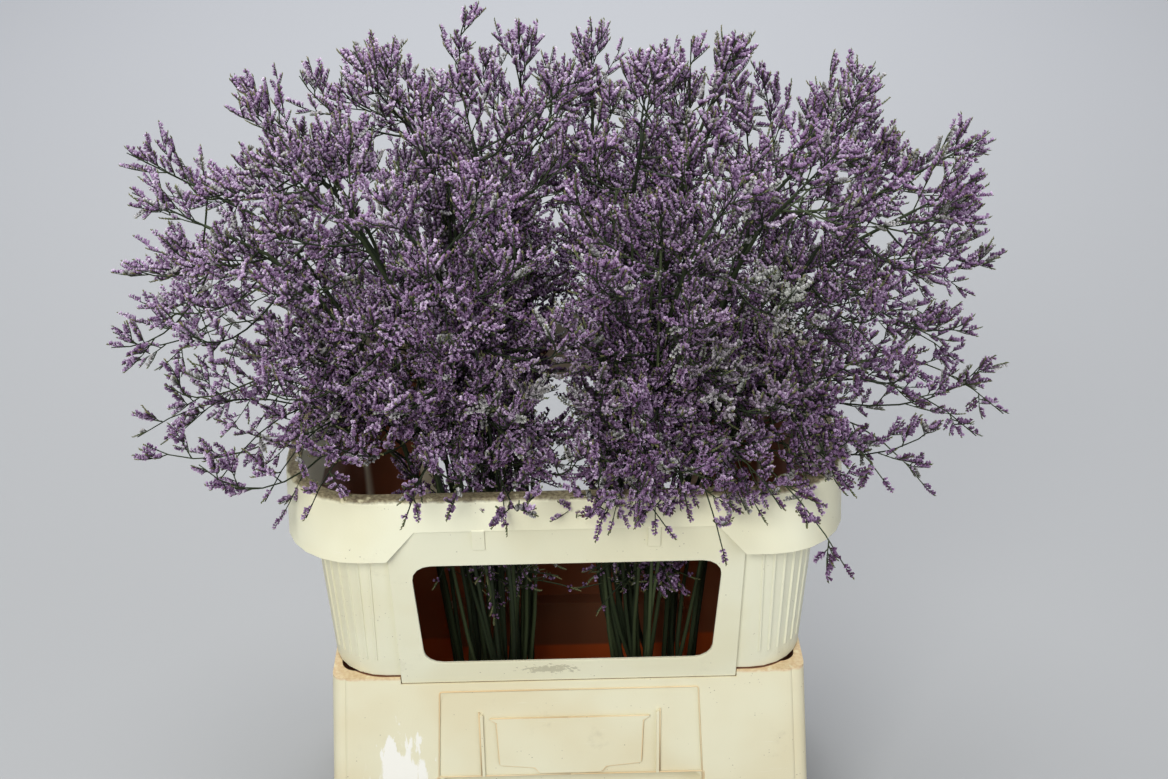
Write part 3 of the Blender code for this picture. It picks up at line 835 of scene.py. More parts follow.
FINE_SPIKES = (
    SpikeShape(florets=10, buds=2, bloom=0.90, arch=0.0012),
    SpikeShape(florets=9, buds=3, bloom=0.84, arch=0.0026),
    SpikeShape(florets=10, buds=3, bloom=0.86, arch=0.0036),
    SpikeShape(florets=8, buds=4, bloom=0.76, arch=0.0020),
    SpikeShape(florets=6, buds=5, bloom=0.62, arch=0.0030),
    SpikeShape(florets=3, buds=8, bloom=0.32, arch=0.0018),
)
PLAIN_SPIKES = (
    SpikeShape(florets=8, buds=1, bloom=0.92, arch=0.0015, sides=3, floret_r=0.0014),
    SpikeShape(florets=7, buds=2, bloom=0.84, arch=0.0030, sides=3, floret_r=0.0014),
)


class Spike:
    """A prototype spike, built once and stamped many times.

    It grows along +Y from the origin and its florets look towards +Z.
    """

    def __init__(self, shape: SpikeShape, seed: int) -> None:
        """Build the prototype.

        Args:
            shape: its sizes.
            seed: what makes it unlike the other prototypes.
        """
        self.shape = shape
        self.rng = random.Random(seed)
        self.mesh = bmesh.new()
        self.tint = self.mesh.verts.layers.float.new("tint")
        self.build()
        self.cloud = self.as_cloud()
        self.mesh.free()

    def on_axis(self, t: float) -> Vector:
        """A point of the spike's arched axis."""
        s = self.shape
        return Vector((0, s.length * t, s.arch * t * t))

    def build(self) -> None:
        """Make the florets, and the buds at the spike's end."""
        s = self.shape
        for index in range(s.florets):
            t = s.bare + (s.bloom - s.bare) * (index + 0.5) / s.florets
            self.floret(self.on_axis(t), 1 if index % 2 else -1, s.shrinks[0] - s.shrinks[1] * t)
        for index in range(s.buds):
            t = s.bloom + (1 - s.bloom) * (index + 0.5) / s.buds
            self.bud(self.on_axis(t), 1 if index % 2 else -1, s.bud_shrinks[0] - s.bud_shrinks[1] * t)

    def cone(self, segments: int, radius: float, height: float, place: Matrix) -> list:
        """An open cone whose point is at the place and whose mouth looks along its +Z."""
        flip = Matrix.Translation((0, 0, height / 2)) @ Matrix.Rotation(math.pi, 4, "X")
        made = bmesh.ops.create_cone(
            self.mesh, cap_ends=False, segments=segments,
            radius1=radius, radius2=0, depth=height, matrix=place @ flip,
        )
        return made["verts"]

    def facing(self, place: Vector, direction: Vector) -> Matrix:
        """A matrix that turns +Z to a direction, at a place, with a random roll."""
        turn = direction.to_track_quat("Z", "Y").to_matrix().to_4x4()
        roll = Matrix.Rotation(self.rng.uniform(0, math.tau), 4, "Z")
        return Matrix.Translation(place) @ turn @ roll

    def floret(self, place: Vector, side: int, size: float) -> None:
        """A papery funnel with an uneven mouth that leans out and forward from the axis."""
        s, rng = self.shape, self.rng
        aside, ahead = rng.uniform(*s.lean_aside), rng.uniform(*s.lean_ahead)
        lean = Vector((side * aside, ahead, 1.0)).normalized()
        size *= rng.uniform(*s.varies)
        frame = self.facing(place, lean)
        back = frame.inverted()
        foot, mouth = rng.uniform(*s.foot_tint), rng.uniform(*s.mouth_tint)
        for vert in self.cone(s.sides, s.floret_r * size, s.floret_long * size, frame):
            local = back @ vert.co
            if local.z < 1e-5:
                vert[self.tint] = foot
            else:
                wide, high = rng.uniform(*s.mouth_wide), rng.uniform(*s.mouth_high)
                vert.co = frame @ Vector((local.x * wide, local.y * wide, local.z * high))
                vert[self.tint] = mouth + rng.uniform(*s.mouth_varies)

    def bud(self, place: Vector, side: int, size: float) -> None:
        """A closed bud near the spike's end."""
        s = self.shape
        lean = Vector((side * s.bud_lean[0], *s.bud_lean[1:])).normalized()
        frame = self.facing(place + lean * s.bud_long * size, -lean)
        for vert in self.cone(s.bud_sides, s.bud_r * size, s.bud_long * size, frame):
            vert[self.tint] = s.bud_tint + self.rng.uniform(*s.bud_varies)

    def as_cloud(self) -> Cloud:
        """The prototype's triangles, with its axis added."""
        bmesh.ops.triangulate(self.mesh, faces=self.mesh.faces)
        self.mesh.verts.index_update()
        points = np.array([v.co for v in self.mesh.verts])
        faces = np.array([[v.index for v in f.verts] for f in self.mesh.faces])
        tint = np.array([v[self.tint] for v in self.mesh.verts])
        florets = Cloud(points, faces, tint, np.zeros(len(points)))
        places = np.linspace(0, 1, 3)
        axis = np.array([self.on_axis(t) for t in places])
        radii = self.shape.axis_r * (1 - self.shape.axis_taper * places)
        return Cloud.joined([florets, swept(axis, radii, 3, 0.12 + 0.10 * places, 0.0)])


@dataclass(frozen=True)
class Placed:
    """Where one copy of a spike stands, and its colours."""

    kind: int
    turn: np.ndarray
    spot: np.ndarray
    # painted light by place plus a random tone, for the floret mouths
    shift: float
    fade: float


class SpikeSet:
    """All the prototypes, and the stamping of copies of them."""

    def __init__(self) -> None:
        """Build one prototype of each kind."""
        shapes = FINE_SPIKES + PLAIN_SPIKES
        self.clouds = [Spike(shape, 31 * kind + 5).cloud for kind, shape in enumerate(shapes)]

    def stamp(self, placed: list[Placed]) -> Cloud:
        """Copy prototypes to their places.

        Args:
            placed: the copies.

        Returns:
            All the copies in one cloud.
        """
        clouds = []
        for kind, proto in enumerate(self.clouds):
            mine = [copy for copy in placed if copy.kind == kind]
            if not mine:
                continue
            turns = np.array([copy.turn for copy in mine])
            spots = np.array([copy.spot for copy in mine])
            points = np.einsum("nij,vj->nvi", turns, proto.points) + spots[:, None]
            faces = proto.faces[None] + (np.arange(len(mine)) * len(proto.points))[:, None, None]
            # the floret mouths take the shift: painted light by place and a random tone
            shift = np.array([copy.shift for copy in mine])[:, None] * (proto.tint > 0.5)[None]
            tint = np.clip(proto.tint[None] + shift, 0, 1)
            fade = np.repeat([copy.fade for copy in mine], len(proto.points))
            clouds.append(Cloud(points.reshape(-1, 3), faces.reshape(-1, 3), tint.ravel(), fade))
        return Cloud.joined(clouds)


@dataclass(frozen=True)
class Habit:
    """How a shoot divides into twigs and spikes.

    Lengths are in metres and turns in radians. Pairs are a range, and the rest are shares of a length.
    """

    flowering: float = 0.125
    twigs: int = 6
    twig_long: tuple[float, float] = (0.014, 0.044)
    twig_turn: float = math.radians(42)
    spikes: int = 4
    spike_turn: float = math.radians(42)
    size: tuple[float, float] = (0.78, 1.20)
    upward: float = 0.35
    shoot_r: float = 0.0010
    twig_r: float = 0.0006
    past_end: float = 0.003
    plain: bool = False
    opened: bool = True
    shoot_taper: float = 0.55
    stout: float = 0.25
    twigs_from: float = 0.20
    twigs_least: float = 0.1
    end_room: float = 0.020
    twist: float = math.radians(150)
    wander: float = 0.5
    step: float = 0.04
    long_varies: tuple[float, float] = (0.8, 1.1)
    long_most: float = 0.6
    turn_varies: tuple[float, float] = (0.8, 1.25)
    twig_taper: float = 0.5
    twig_tint: float = 0.13
    spikes_from: float = 0.22
    spikes_over: float = 0.72
    spike_wander: float = 0.04
    twig_step: float = 0.05


MAIN = Habit()
SKIRT = Habit(flowering=0.11, twigs=5, spikes=3, shoot_r=0.0008, twig_r=0.0005)
INNER = Habit(
    flowering=0.12, twigs=5, twig_long=(0.018, 0.046), shoot_r=0.0008, twig_r=0.0005, plain=True,
)
LONG = Habit(flowering=0.12, twigs=5, twig_long=(0.018, 0.046), shoot_r=0.0021, plain=True)
SPARSE = Habit(flowering=0.06, twigs=4, twig_long=(0.012, 0.026), spikes=2, twig_r=0.0007)
BARE = Habit(
    flowering=0.09, twig_long=(0.008, 0.030), spikes=1, shoot_r=0.0011, size=(0.4, 0.7), opened=False,
)


@dataclass(frozen=True)
class Tone:
    """Where the florets are paler and greener, and how their lightness drifts over the bunch as painted
    light.
    """

    pale: tuple[tuple[float, float, float, float], ...] = (
        (0.139, -0.150, 0.550, 0.038), (0.115, -0.150, 0.489, 0.030), (-0.003, -0.150, 0.480, 0.028),
    )
    # painted light: florets are lighter for each metre up and for each metre to the left
    rise: float = 0.34
    left: float = 0.18
    middle_z: float = 0.54
    limits: tuple[float, float] = (-0.13, 0.05)
    patch_most: float = 1.1
    stray: tuple[float, float] = (0.93, 0.85)

    def fade(self, place: Vector, chance: float) -> float:
        """How faded a spike at a place is, from 0 to 1."""
        near = [math.exp(-(((place - Vector(spot[:3])).length / spot[3]) ** 2)) for spot in self.pale]
        return min(1.0, max(near) * self.patch_most + self.stray[1] * (chance > self.stray[0]))

    def shift(self, place: Vector) -> float:
        """How much lighter or darker the florets at a place are painted: lighter higher up and further left,
        as painted light.
        """
        painted_light = (place.z - self.middle_z) * self.rise - place.x * self.left
        return max(self.limits[0], min(self.limits[1], painted_light))


class Spray:
    """One cut stem with its shoots, twigs and spikes, which replaces a CAD node."""

    STEM_POINTS, STEM_SIDES = 37, 6
    SHOOT_POINTS, TWIG_POINTS = 9, 4
    KINDS = (1.0, 1.0, 1.0, 0.8, 0.25, 0.05)
    MOSTLY_BUDS = 4
    SHIFT = (-0.12, 0.07)

    def __init__(self, node: str, curve, plan: CrownPlan, seed: int) -> None:
        """Start the spray.

        Args:
            node: the CAD node that it stands for.
            curve: the main stem's curve.
            plan: sizes of the frame's stems.
            seed: what makes it unlike the other sprays.
        """
        self.node = node
        self.curve = curve
        self.plan = plan
        self.tone = Tone()
        self.rng = random.Random(seed)
        self.wood: list[Cloud] = []
        self.spikes: list[Placed] = []
        self.add_stem()

    @staticmethod
    def sideways(along: Vector, phase: float) -> Vector:
        """A direction square to another, at a phase round it."""
        across = along.orthogonal().normalized()
        return across * math.cos(phase) + along.cross(across) * math.sin(phase)

    def add_spike(self, place: Vector, along: Vector, size: float, unopened: float, habit: Habit):
        """Place one spike with its florets looking up and out."""
        rng = self.rng
        out = (place - Vector((place.x * 0.5, 0, self.plan.middle_z))).normalized()
        upper = Vector((0, 0, 1.0)) + out * 0.8 + Vector([rng.uniform(-0.5, 0.5) for _ in range(3)])
        upper = upper - along * upper.dot(along)
        upper.normalize()
        turn = np.array([along.cross(upper), along, upper]).T * size
        budding = self.MOSTLY_BUDS
        weights = [*self.KINDS[:budding], *(share + unopened for share in self.KINDS[budding:])]
        kind = rng.choices(range(len(FINE_SPIKES)), weights)[0]
        if not habit.opened:
            kind = len(FINE_SPIKES) - 1
        elif habit.plain:
            kind = len(FINE_SPIKES) + kind % len(PLAIN_SPIKES)
        # the shift is painted light by place, plus a random tone
        shift = self.tone.shift(place) + rng.uniform(*self.SHIFT)
        fade = self.tone.fade(place, rng.random())
        self.spikes.append(Placed(kind, turn, np.array(place), shift, fade))

    def add_wood(self, points, radii, sides: int, tint: float) -> None:
        """Place one length of stem."""
        self.wood.append(swept(np.array(points), np.asarray(radii), sides, tint, 0.0))

    def add_stem(self) -> None:
        """Build the main stem as the frame has it."""
        p = self.plan
        places = np.linspace(0, 1, self.STEM_POINTS)
        points = on_lengths(self.curve, np.linspace(0, 1, p.stem_lengths + 1), places)
        radii = p.stem_r[0] + (p.stem_r[1] - p.stem_r[0]) * places
        self.add_wood(points, radii, self.STEM_SIDES, self.rng.uniform(0.02, 0.12))

    def add_shoot(self, shoot, habit: Habit) -> None:
        """Build one shoot with twigs on both sides of its flowering part."""
        rng, h = self.rng, habit
        length = (shoot[-1] - shoot[0]).length
        places = np.linspace(0, 1, self.SHOOT_POINTS)
        points = on_curve(shoot, places)
        sides = 3 if length < h.stout else 5
        self.add_wood(points, h.shoot_r * (1 - h.shoot_taper * places), sides, rng.uniform(0.04, 0.15))
        begin = max(h.twigs_from, 1 - h.flowering / length)
        last = max(begin + h.twigs_least, 1 - h.end_room / length)
        phase = rng.uniform(0, math.tau)
        for index in range(h.twigs):
            share = index / (h.twigs - 1)
            here, along = place_and_way(shoot, begin + (last - begin) * share, h.step)
            turn = phase + index * h.twist + rng.uniform(-h.wander, h.wander)
            long = h.twig_long[1] + (h.twig_long[0] - h.twig_long[1]) * share
            long = min(long * rng.uniform(*h.long_varies), length * h.long_most)
            self.add_twig(here, along, self.sideways(along, turn), long, h)
        end, _, along = tip_and_way(points)
        foot = end + along * (h.past_end - FINE_SPIKES[0].length)
        self.add_spike(foot, along, 1.0, 0.6, h)

    def add_twig(self, start: Vector, along: Vector, side: Vector, long: float, habit: Habit) -> None:
        """Build one curved twig with spikes on alternate sides and one at its end."""
        rng, h = self.rng, habit
        turn = h.twig_turn * rng.uniform(*h.turn_varies)
        heading = along * math.cos(turn) + side * math.sin(turn)
        heading = (heading + Vector((0, 0, h.upward * 0.4))).normalized()
        middle = start + heading * long * 0.55
        end = middle + (heading + Vector((0, 0, h.upward)) * 0.8).normalized() * long * 0.45
        curve = [start, middle, end]
        places = np.linspace(0, 1, self.TWIG_POINTS)
        points = on_curve(curve, places)
        self.add_wood(points, h.twig_r * (1 - h.twig_taper * places), 3, h.twig_tint)
        phase = rng.uniform(0, math.tau)
        for index in range(h.spikes):
            t = h.spikes_from + h.spikes_over * index / h.spikes
            t += rng.uniform(-h.spike_wander, h.spike_wander)
            here, way = place_and_way(curve, t, h.twig_step)
            aside = self.sideways(way, phase + index * math.pi + rng.uniform(-h.wander, h.wander))
            turned = way * math.cos(h.spike_turn) + aside * math.sin(h.spike_turn)
            turned = (turned + Vector((0, 0, h.upward * 0.5))).normalized()
            self.add_spike(here, turned, rng.uniform(*h.size), 0.05, h)
        end, before, along = tip_and_way(points)
        self.add_spike(end.lerp(before, 0.2), along, rng.uniform(*h.size), 0.25, h)

    def dress(self, protos: SpikeSet, material: bpy.types.Material) -> int:
        """Make the spray's two objects and let them stand for the CAD node.

        Args:
            protos: the spike prototypes.
            material: the plant's material.

        Returns:
            How many triangles were added.
        """
        stems = Cloud.joined(self.wood).object(self.node + ".stems", material)
        florets = protos.stamp(self.spikes).object(self.node + ".florets", material)
        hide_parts(self.node)
        for obj in (stems, florets):
            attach(obj, BODY)
        return len(stems.data.polygons) + len(florets.data.polygons)


@dataclass(frozen=True)
class Filling:
    """Shoots too fine for the frame, which close the bunch from inside and at its lower edge.

    A box is a span in x, y and z, and holds the ends of the shoots that its count gives.
    """

    joints: tuple[float, float, int] = (0.06, 0.96, 34)
    joint_ahead: float = 0.02
    skirt: int = 72
    skirt_square: float = 0.4
    skirt_grow: tuple[float, float] = (0.80, 1.08)
    skirt_half: tuple[float, float] = (0.205, 0.160)
    skirt_z: tuple[float, float] = (0.414, 0.462)
    hanging: int = 24
    hanging_box: tuple[tuple[float, float], ...] = ((0.01, 0.215), (-0.192, -0.167), (0.366, 0.425))
    inner: int = 134
    inner_shell: tuple[float, float] = (0.25, 0.90)
    inner_lowest: float = -0.10
    centre: int = 52
    centre_box: tuple[tuple[float, float], ...] = ((-0.048, 0.050), (-0.135, 0.130), (0.345, 0.500))
    thin: tuple[tuple[float, float], ...] = ((-0.034, 0.000), (-0.110, 0.110), (0.390, 0.520))
    corner: tuple[tuple[float, float], ...] = ((0.085, 0.182), (-0.132, -0.060), (0.400, 0.452))
    extra: int = 14
    # branches from low on the stems, past a point behind the window and up into the crown
    long: int = 60
    long_from: tuple[float, float] = (0.02, 0.15)
    long_by: tuple[tuple[float, float], ...] = ((0.020, 0.104), (-0.092, 0.050), (0.27, 0.31))
    long_to: tuple[tuple[float, float], ...] = ((0.9, 1.9), (0.8, 1.5), (0.44, 0.60))
    # short shoots that show in the window
    bare_box: tuple[tuple[float, float], ...] = ((-0.104, 0.100), (-0.105, -0.050), (0.250, 0.308))
    bare: int = 24
    set_low: tuple[tuple[float, float, float], ...] = (
        (0.016, -0.100, 0.302), (0.078, -0.102, 0.288), (0.090, -0.098, 0.278), (0.064, -0.100, 0.296),
        (0.070, -0.104, 0.282), (0.084, -0.104, 0.294), (-0.060, -0.102, 0.298),
    )
    low: int = 22
    low_half: tuple[float, float] = (0.150, 0.100)
    low_z: tuple[float, float] = (0.290, 0.385)
    low_from_x: float = 0.03
    low_back: float = -0.5
    # how a shoot finds the stem it leaves
    reach: tuple[float, float] = (0.045, 0.24)
    low_reach: tuple[float, float] = (0.035, 0.12)
    high_starts: tuple[float, float] = (0.20, 1.0)
    low_start: float = 0.12
    steepest: float = math.radians(80)
    choices: int = 6
    unsure: float = 0.03
    long_unsure: float = 0.02
    leaves_along: float = 0.45
    hangs_below: float = 0.03
    hangs_from: float = 0.55
    over_rim: float = 0.055
    behind_rim: float = -0.112
    room: float = 0.004
    checks: int = 24
    seed: int = 21
    first_spray_seed: int = 100


class Statice:
    """Both bunches."""

    def __init__(self, plan: CrownPlan, filling: Filling) -> None:
        """Grow the skeleton.

        Args:
            plan: the frame's sizes.
            filling: the shoots that are added to it.
        """
        self.plan = plan
        self.filling = filling
        self.skeleton = Skeleton(plan)
        self.rng = random.Random(filling.seed)
        self.joints = self.filler_joints()

    def filler_joints(self) -> list:
        """Places on every stem from which a filler may grow, with the stem's direction there."""
        f = self.filling
        joints = []
        places = np.linspace(*f.joints)
        for index, curve in enumerate(self.skeleton.stems):
            points = on_lengths(curve, self.skeleton.stem_knots(), places)
            ahead = on_curve(curve, places + f.joint_ahead) - on_curve(curve, places)
            joints += [(index, Vector(p), Vector(a).normalized()) for p, a in zip(points, ahead)]
        return joints

    def skirt_targets(self) -> list[Vector]:
        """Ends of the fillers all round the mouth, which droop over its front on the right."""
        f, rng = self.filling, self.rng
        targets = []
        for index in range(f.skirt):
            angle = math.tau * (index + rng.uniform(0.2, 0.8)) / f.skirt
            x, y = (
                half * math.copysign(abs(part) ** f.skirt_square, part)
                for half, part in zip(f.skirt_half, (math.cos(angle), math.sin(angle)))
            )
            grow = rng.uniform(*f.skirt_grow)
            target = Vector((x * grow, y * grow, rng.uniform(*f.skirt_z)))
            if target.x < f.hanging_box[0][0]:
                target.y = max(target.y, f.behind_rim)
            targets.append(target)
        for _ in range(f.hanging):
            targets.append(self.somewhere(f.hanging_box))
        return targets

    def inner_targets(self) -> list[Vector]:
        """Ends of the fillers inside the crown."""
        f, p, rng = self.filling, self.plan, self.rng
        targets = []
        while len(targets) < f.inner:
            direction = Vector([rng.gauss(0, 1) for _ in range(3)]).normalized()
            if direction.z < f.inner_lowest:
                continue
            shell = rng.uniform(*f.inner_shell)
            target = direction * self.skeleton.reach(direction) * shell
            targets.append(target + Vector((0, 0, p.middle_z)))
        targets += [self.somewhere(f.centre_box) for _ in range(f.centre)]
        targets += [self.somewhere(f.thin) for _ in range(f.extra)]
        for number in range(2 * f.extra):
            target = self.somewhere(f.corner)
            target.x *= 1 if number % 2 else -1
            targets.append(target)
        return targets

    def somewhere(self, box) -> Vector:
        """A random point of a box, given by its spans in x, y and z."""
        return Vector([self.rng.uniform(*span) for span in box])

    def is_clear(self, curve) -> bool:
        """Whether a shoot's curve keeps clear of the collar."""
        points = on_curve(curve, np.linspace(0, 1, self.filling.checks))
        return all(self.skeleton.clear_of_collar(point, self.filling.room) for point in points)

    def add_long(self, sprays: list[Spray]) -> int:
        """Add branches that leave their stems low in the bucket and pass behind the window."""
        f, rng = self.filling, self.rng
        added = 0
        for number in range(f.long):
            side = number % 2
            by = self.somewhere(f.long_by)
            by.x *= 1 if side else -1
            grow = self.somewhere(f.long_to)
            end = Vector((by.x * grow.x, by.y * grow.y, grow.z))
            near = [
                ((start - by).xy.length + rng.uniform(0, f.long_unsure), index, start)
                for index, start, _ in self.joints
                if index % 2 == side and f.long_from[0] < start.z < f.long_from[1]
            ]
            _, index, start = min(near, key=lambda entry: entry[0])
            curve = [start, by * 2 - (start + end) / 2, end]
            if self.is_clear(curve):
                sprays[index].add_shoot(curve, LONG)
                added += 1
        return added

    def low_targets(self) -> list[Vector]:
        """Ends of the fillers inside the collar, in the two bunches."""
        f, rng = self.filling, self.rng
        targets = []
        for index in range(f.low):
            side = 1 if index % 2 else -1
            x = side * rng.uniform(f.low_from_x, f.low_half[0])
            y = -rng.uniform(f.low_back, 1) * f.low_half[1]
            targets.append(Vector((x, y, rng.uniform(*f.low_z))))
        return targets + [Vector(point) for point in f.set_low]

    def filler(self, target: Vector, reach: tuple[float, float], heights: tuple[float, float]):
        """The stem and curve of a shoot to a target, or None where the collar is in its way."""
        f, rng = self.filling, self.rng
        order = []
        for index, start, along in self.joints:
            away = target - start
            fits = reach[0] < away.length < reach[1] and heights[0] < start.z < heights[1]
            if fits and away.angle(along) < f.steepest:
                order.append((away.length + rng.uniform(0, f.unsure), index, start, along))
        order.sort(key=lambda entry: entry[0])
        for _, index, start, along in order[: f.choices]:
            away = target - start
            control = start + along * away.length * f.leaves_along
            if target.z < self.plan.rim_z + f.hangs_below and not self.inside_mouth(target):
                control = start.lerp(target, f.hangs_from) + Vector((0, 0, f.over_rim))
            curve = [start, control, target]
            if self.is_clear(curve):
                return index, curve
        return None

    def inside_mouth(self, point: Vector) -> bool:
        """Whether a point stands within the collar's walls."""
        return Skeleton.inside_rounded(abs(point.x), abs(point.y), self.plan.inner)

    def build(self) -> None:
        """Build every spray."""
        f = self.filling
        material = Papery().material()
        protos = SpikeSet()
        sprays = []
        for index, curve in enumerate(self.skeleton.stems):
            side = "right" if index % 2 else "left"
            name = f"spray_{side}_{index // 2 + 1:02d}"
            spray = Spray(name, curve, self.plan, f.first_spray_seed + index)
            for shoot in self.skeleton.shoots[index]:
                spray.add_shoot(shoot, MAIN)
            sprays.append(spray)
        high, low = f.high_starts, (f.low_start, self.plan.rim_z)
        bare = [self.somewhere(f.bare_box) for _ in range(f.bare)]
        groups = (
            (self.skirt_targets(), f.reach, high, SKIRT),
            (self.inner_targets(), f.reach, high, INNER),
            (self.low_targets(), f.low_reach, low, SPARSE),
            (bare, f.low_reach, low, BARE),
        )
        LOG.info("statice: %d of %d long branches", self.add_long(sprays), f.long)
        for targets, reach, heights, habit in groups:
            added = 0
            for target in targets:
                found = self.filler(target, reach, heights)
                if found is not None:
                    sprays[found[0]].add_shoot(found[1], habit)
                    added += 1
            LOG.info("statice: %d of %d fillers", added, len(targets))
        total = sum(spray.dress(protos, material) for spray in sprays)
        most = max(len(spray.spikes) for spray in sprays)
        spikes = sum(len(spray.spikes) for spray in sprays)
        LOG.info("statice: %d spikes, at most %d on a spray, %d triangles", spikes, most, total)


@dataclass(frozen=True)
class Trim:
    """Right halves of the raised lines on the bucket's front, in x and z, their sizes, and the darker orange
    colours that paint shade along them.
    """

    lines: tuple[tuple[tuple[float, float], ...], ...] = (
        ((0.0, 0.2072), (0.0982, 0.2072), (0.1078, 0.0250)),
        (
            (0.0, 0.1818), (0.0618, 0.1818), (0.0563, 0.1776), (0.0548, 0.1383),
            (0.0278, 0.1355), (0.0243, 0.1302), (0.0, 0.1302),
        ),
        ((0.0, 0.1284), (0.1038, 0.1284), (0.1045, 0.0320)),
        ((0.0692, 0.1880), (0.0692, 0.1290)),
    )
    corner: float = 0.0022
    corner_points: int = 5
    bead_r: float = 0.0006
    bead_sides: int = 6
    sunk: float = -0.0004
    front: float = 0.1145
    deck_z: float = 0.2207
    flare: float = math.tan(math.radians(3.7))
    # darker orange plastic of the raised lines: painted shade along their edges
    colours: tuple[str, str] = ("EBD9B2", "E2C79A")


@dataclass(frozen=True)
class Edges:
    """How the container's moulded edges are rounded."""

    width: float = 0.0004
    segments: int = 2
    sharper_than: float = math.radians(28)
    weld: float = 0.00002


class Container:
    """The bucket and the collar on it."""

    def __init__(self, nodes: dict) -> None:
        """Take the frame's nodes.

        Args:
            nodes: the CAD objects by name.
        """
        self.nodes = nodes
        self.edges = Edges()
        self.trim = Trim()

    def dress(self) -> None:
        """Give both pieces their plastic."""
        collar = CreamPlastic("collar_plastic").material()
        # the bucket is the same plastic as the collar; its darker light and dull colours are painted shade
        bucket = CreamPlastic(
            "bucket_plastic", light="E9E5C9", dull="E3DAB9", rim_z=self.trim.deck_z,
            rim=("D6B487", "E4CBA0", "EBDDB8", 0.8), marks=LIME, marks_noise=LIME_NOISE,
            base=(0.1790, self.trim.front, 0.0420, self.trim.deck_z), lean=(-0.0647, -0.0647),
        ).material()
        for name, material, slot in (("collar", collar, Slot.COLLAR), ("bucket", bucket, Slot.BUCKET)):
            data = self.nodes[name].data
            data.materials.clear()
            data.materials.append(material)
            self.soften(self.nodes[name])
            LOG.info("container: %s dressed", name)
        self.add_beads()

    def on_front(self, x: float, z: float) -> tuple[float, float, float]:
        """The point of the bucket's leaning front at a place and height."""
        t = self.trim
        return (x, -(t.front + (t.deck_z - z) * t.flare) + t.sunk, z)

    def rounded(self, corners) -> list:
        """An open line on the front whose inner corners are turned into arcs."""
        radius = self.trim.corner
        line = [corners[0]]
        for before, here, after in zip(corners, corners[1:], corners[2:]):
            here = Vector(here)
            back, ahead = (Vector(before) - here).normalized(), (Vector(after) - here).normalized()
            ends = [here + back * radius, here, here + ahead * radius]
            arc = on_curve([(*end, 0) for end in ends], np.linspace(0, 1, self.trim.corner_points))
            line += [tuple(point[:2]) for point in arc]
        return line + [corners[-1]]

    def add_beads(self) -> None:
        """Add the thin raised lines round the field, the label holder and the grip, in a darker orange
        plastic that paints shade along them.
        """
        t = self.trim
        lines = [self.rounded(corners) for corners in t.lines]
        lines += [[(-x, z) for x, z in line] for line in lines]
        clouds = []
        for line in lines:
            points = np.array([self.on_front(*q) for q in line])
            clouds.append(swept(points, np.full(len(points), t.bead_r), t.bead_sides, 0.0, 0.0))
        # the raised lines are real geometry; their darker orange colour is painted shade
        plastic = CreamPlastic("edge_shade_plastic", *t.colours).material()
        beads = Cloud.joined(clouds).object("bucket_beads", plastic)
        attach(beads, BODY)
        LOG.info("container: %d beads, %d triangles", len(lines), len(beads.data.polygons))

    def soften(self, obj: bpy.types.Object) -> None:
        """Round a piece's edges as a mould does."""
        obj.data.shade_smooth()
        weld = obj.modifiers.new("weld", "WELD")
        weld.merge_threshold = self.edges.weld
        bevel = obj.modifiers.new("edges", "BEVEL")
        bevel.width = self.edges.width
        bevel.segments = self.edges.segments
        bevel.limit_method = "ANGLE"
        bevel.angle_limit = self.edges.sharper_than
        bevel.use_clamp_overlap = True
        normals = obj.modifiers.new("normals", "WEIGHTED_NORMAL")
        normals.keep_sharp = True


@dataclass(frozen=True)
class Camera:
    """The photograph's viewpoint, fitted to the container's edges."""

    place: tuple[float, float, float] = (-0.0033, -1.1412, 1.0226)
    pitch: float = math.radians(28.5)
    yaw: float = math.radians(0.98)
    roll: float = math.radians(-0.75)
    focal_px: float = 1700.0
    width_px: float = 1168.0
    sensor: float = 36.0

    def build(self) -> None:
        """Make the scene's camera."""
        ahead = Vector((
            math.sin(self.yaw) * math.cos(self.pitch),
            math.cos(self.yaw) * math.cos(self.pitch),
            -math.sin(self.pitch),
        ))
        right = Vector((math.cos(self.yaw), -math.sin(self.yaw), 0))
        up = right.cross(ahead)
        turned = math.cos(self.roll) * right + math.sin(self.roll) * up
        upright = -math.sin(self.roll) * right + math.cos(self.roll) * up
        data = bpy.data.cameras.new("camera")
        data.sensor_width = self.sensor
        data.lens = self.focal_px / self.width_px * self.sensor
        data.clip_start, data.clip_end = 0.01, 50.0
        camera = link("camera", data)
        basis = Matrix((turned, upright, -ahead)).transposed().to_4x4()
        camera.matrix_world = Matrix.Translation(self.place) @ basis
        bpy.context.scene.camera = camera


@dataclass(frozen=True)
class Lamp:
    """One square area light: where it is, what it looks at, and its size, power and colour."""

    name: str
    place: tuple[float, float, float]
    target: tuple[float, float, float]
    size: float
    power: float
    colour: str


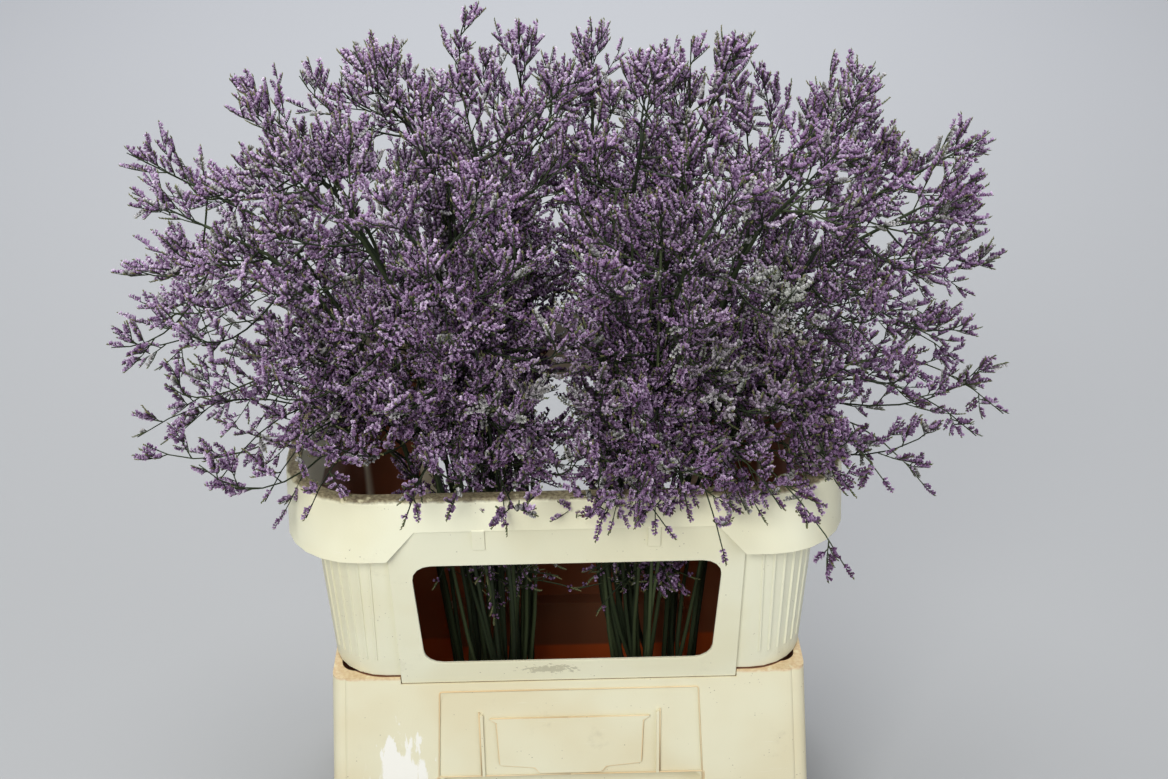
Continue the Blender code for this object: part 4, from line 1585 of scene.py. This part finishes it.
LAMPS = (
    Lamp("key", (-0.6, -2.0, 1.8), (0, 0, 0.35), 1.0, 53.0, "FFFFFA"),
    Lamp("fill", (1.5, -1.6, 1.4), (0, 0, 0.3), 1.4, 12.0, "F6F8FF"),
    Lamp("top", (-0.2, 0.2, 2.5), (0, 0, 0.5), 1.2, 36.0, "FFFFFF"),
    Lamp("back", (0.0, 2.8, 2.6), (0, 2.8, 0), 3.0, 170.0, "F8FAFF"),
)


@dataclass(frozen=True)
class Studio:
    """Floor and light."""

    # painted light: the floor's grey steps a little from near to far to set the backdrop's brightness
    near: str = "8D8E8F"
    far: str = "8B8C8E"
    near_to_far: tuple[float, float] = (0.3, 2.6)
    floor_half: float = 12.0
    sky: str = "EEF1F6"
    sky_strength: float = 0.34

    def floor(self) -> None:
        """A wide pale grey floor, which fills the background, its grey changing a little from near to far as
        painted light.
        """
        g = Graph("floor_grey")
        away = g.add("SeparateXYZ", {0: g.place}).outputs[1]
        # painted light gradient from near to far
        colour = g.mix(g.between(away, *self.near_to_far), linear(self.near), linear(self.far))
        material = g.done(g.add("BsdfPrincipled", {"Base Color": colour, "Roughness": 0.9}).outputs[0])
        mesh = bmesh.new()
        bmesh.ops.create_grid(mesh, x_segments=2, y_segments=2, size=self.floor_half)
        data = bpy.data.meshes.new("floor")
        mesh.to_mesh(data)
        mesh.free()
        data.materials.append(material)
        link("floor", data)

    def light(self, lamp: Lamp) -> None:
        """Hang one lamp."""
        data = bpy.data.lights.new(lamp.name, "AREA")
        data.size = lamp.size
        data.energy = lamp.power
        data.color = linear(lamp.colour)[:3]
        hung = link(lamp.name, data)
        hung.location = lamp.place
        hung.rotation_mode = "QUATERNION"
        away = Vector(lamp.place) - Vector(lamp.target)
        hung.rotation_quaternion = away.to_track_quat("Z", "Y")

    def build(self) -> None:
        """Make the floor, the lamps and the ambient light."""
        self.floor()
        world = bpy.data.worlds.new("studio")
        world.use_nodes = True
        background = world.node_tree.nodes["Background"]
        background.inputs["Color"].default_value = linear(self.sky)
        background.inputs["Strength"].default_value = self.sky_strength
        bpy.context.scene.world = world
        bpy.context.scene.view_settings.view_transform = "Standard"
        for lamp in LAMPS:
            self.light(lamp)


def main() -> None:
    """Dress the frame and light it."""
    logging.basicConfig(level=logging.INFO, format="%(name)s: %(message)s")
    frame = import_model()
    Camera().build()
    Studio().build()
    Container(frame["nodes"]).dress()
    Statice(CrownPlan(), Filling()).build()


if __name__ == "__main__":
    main()
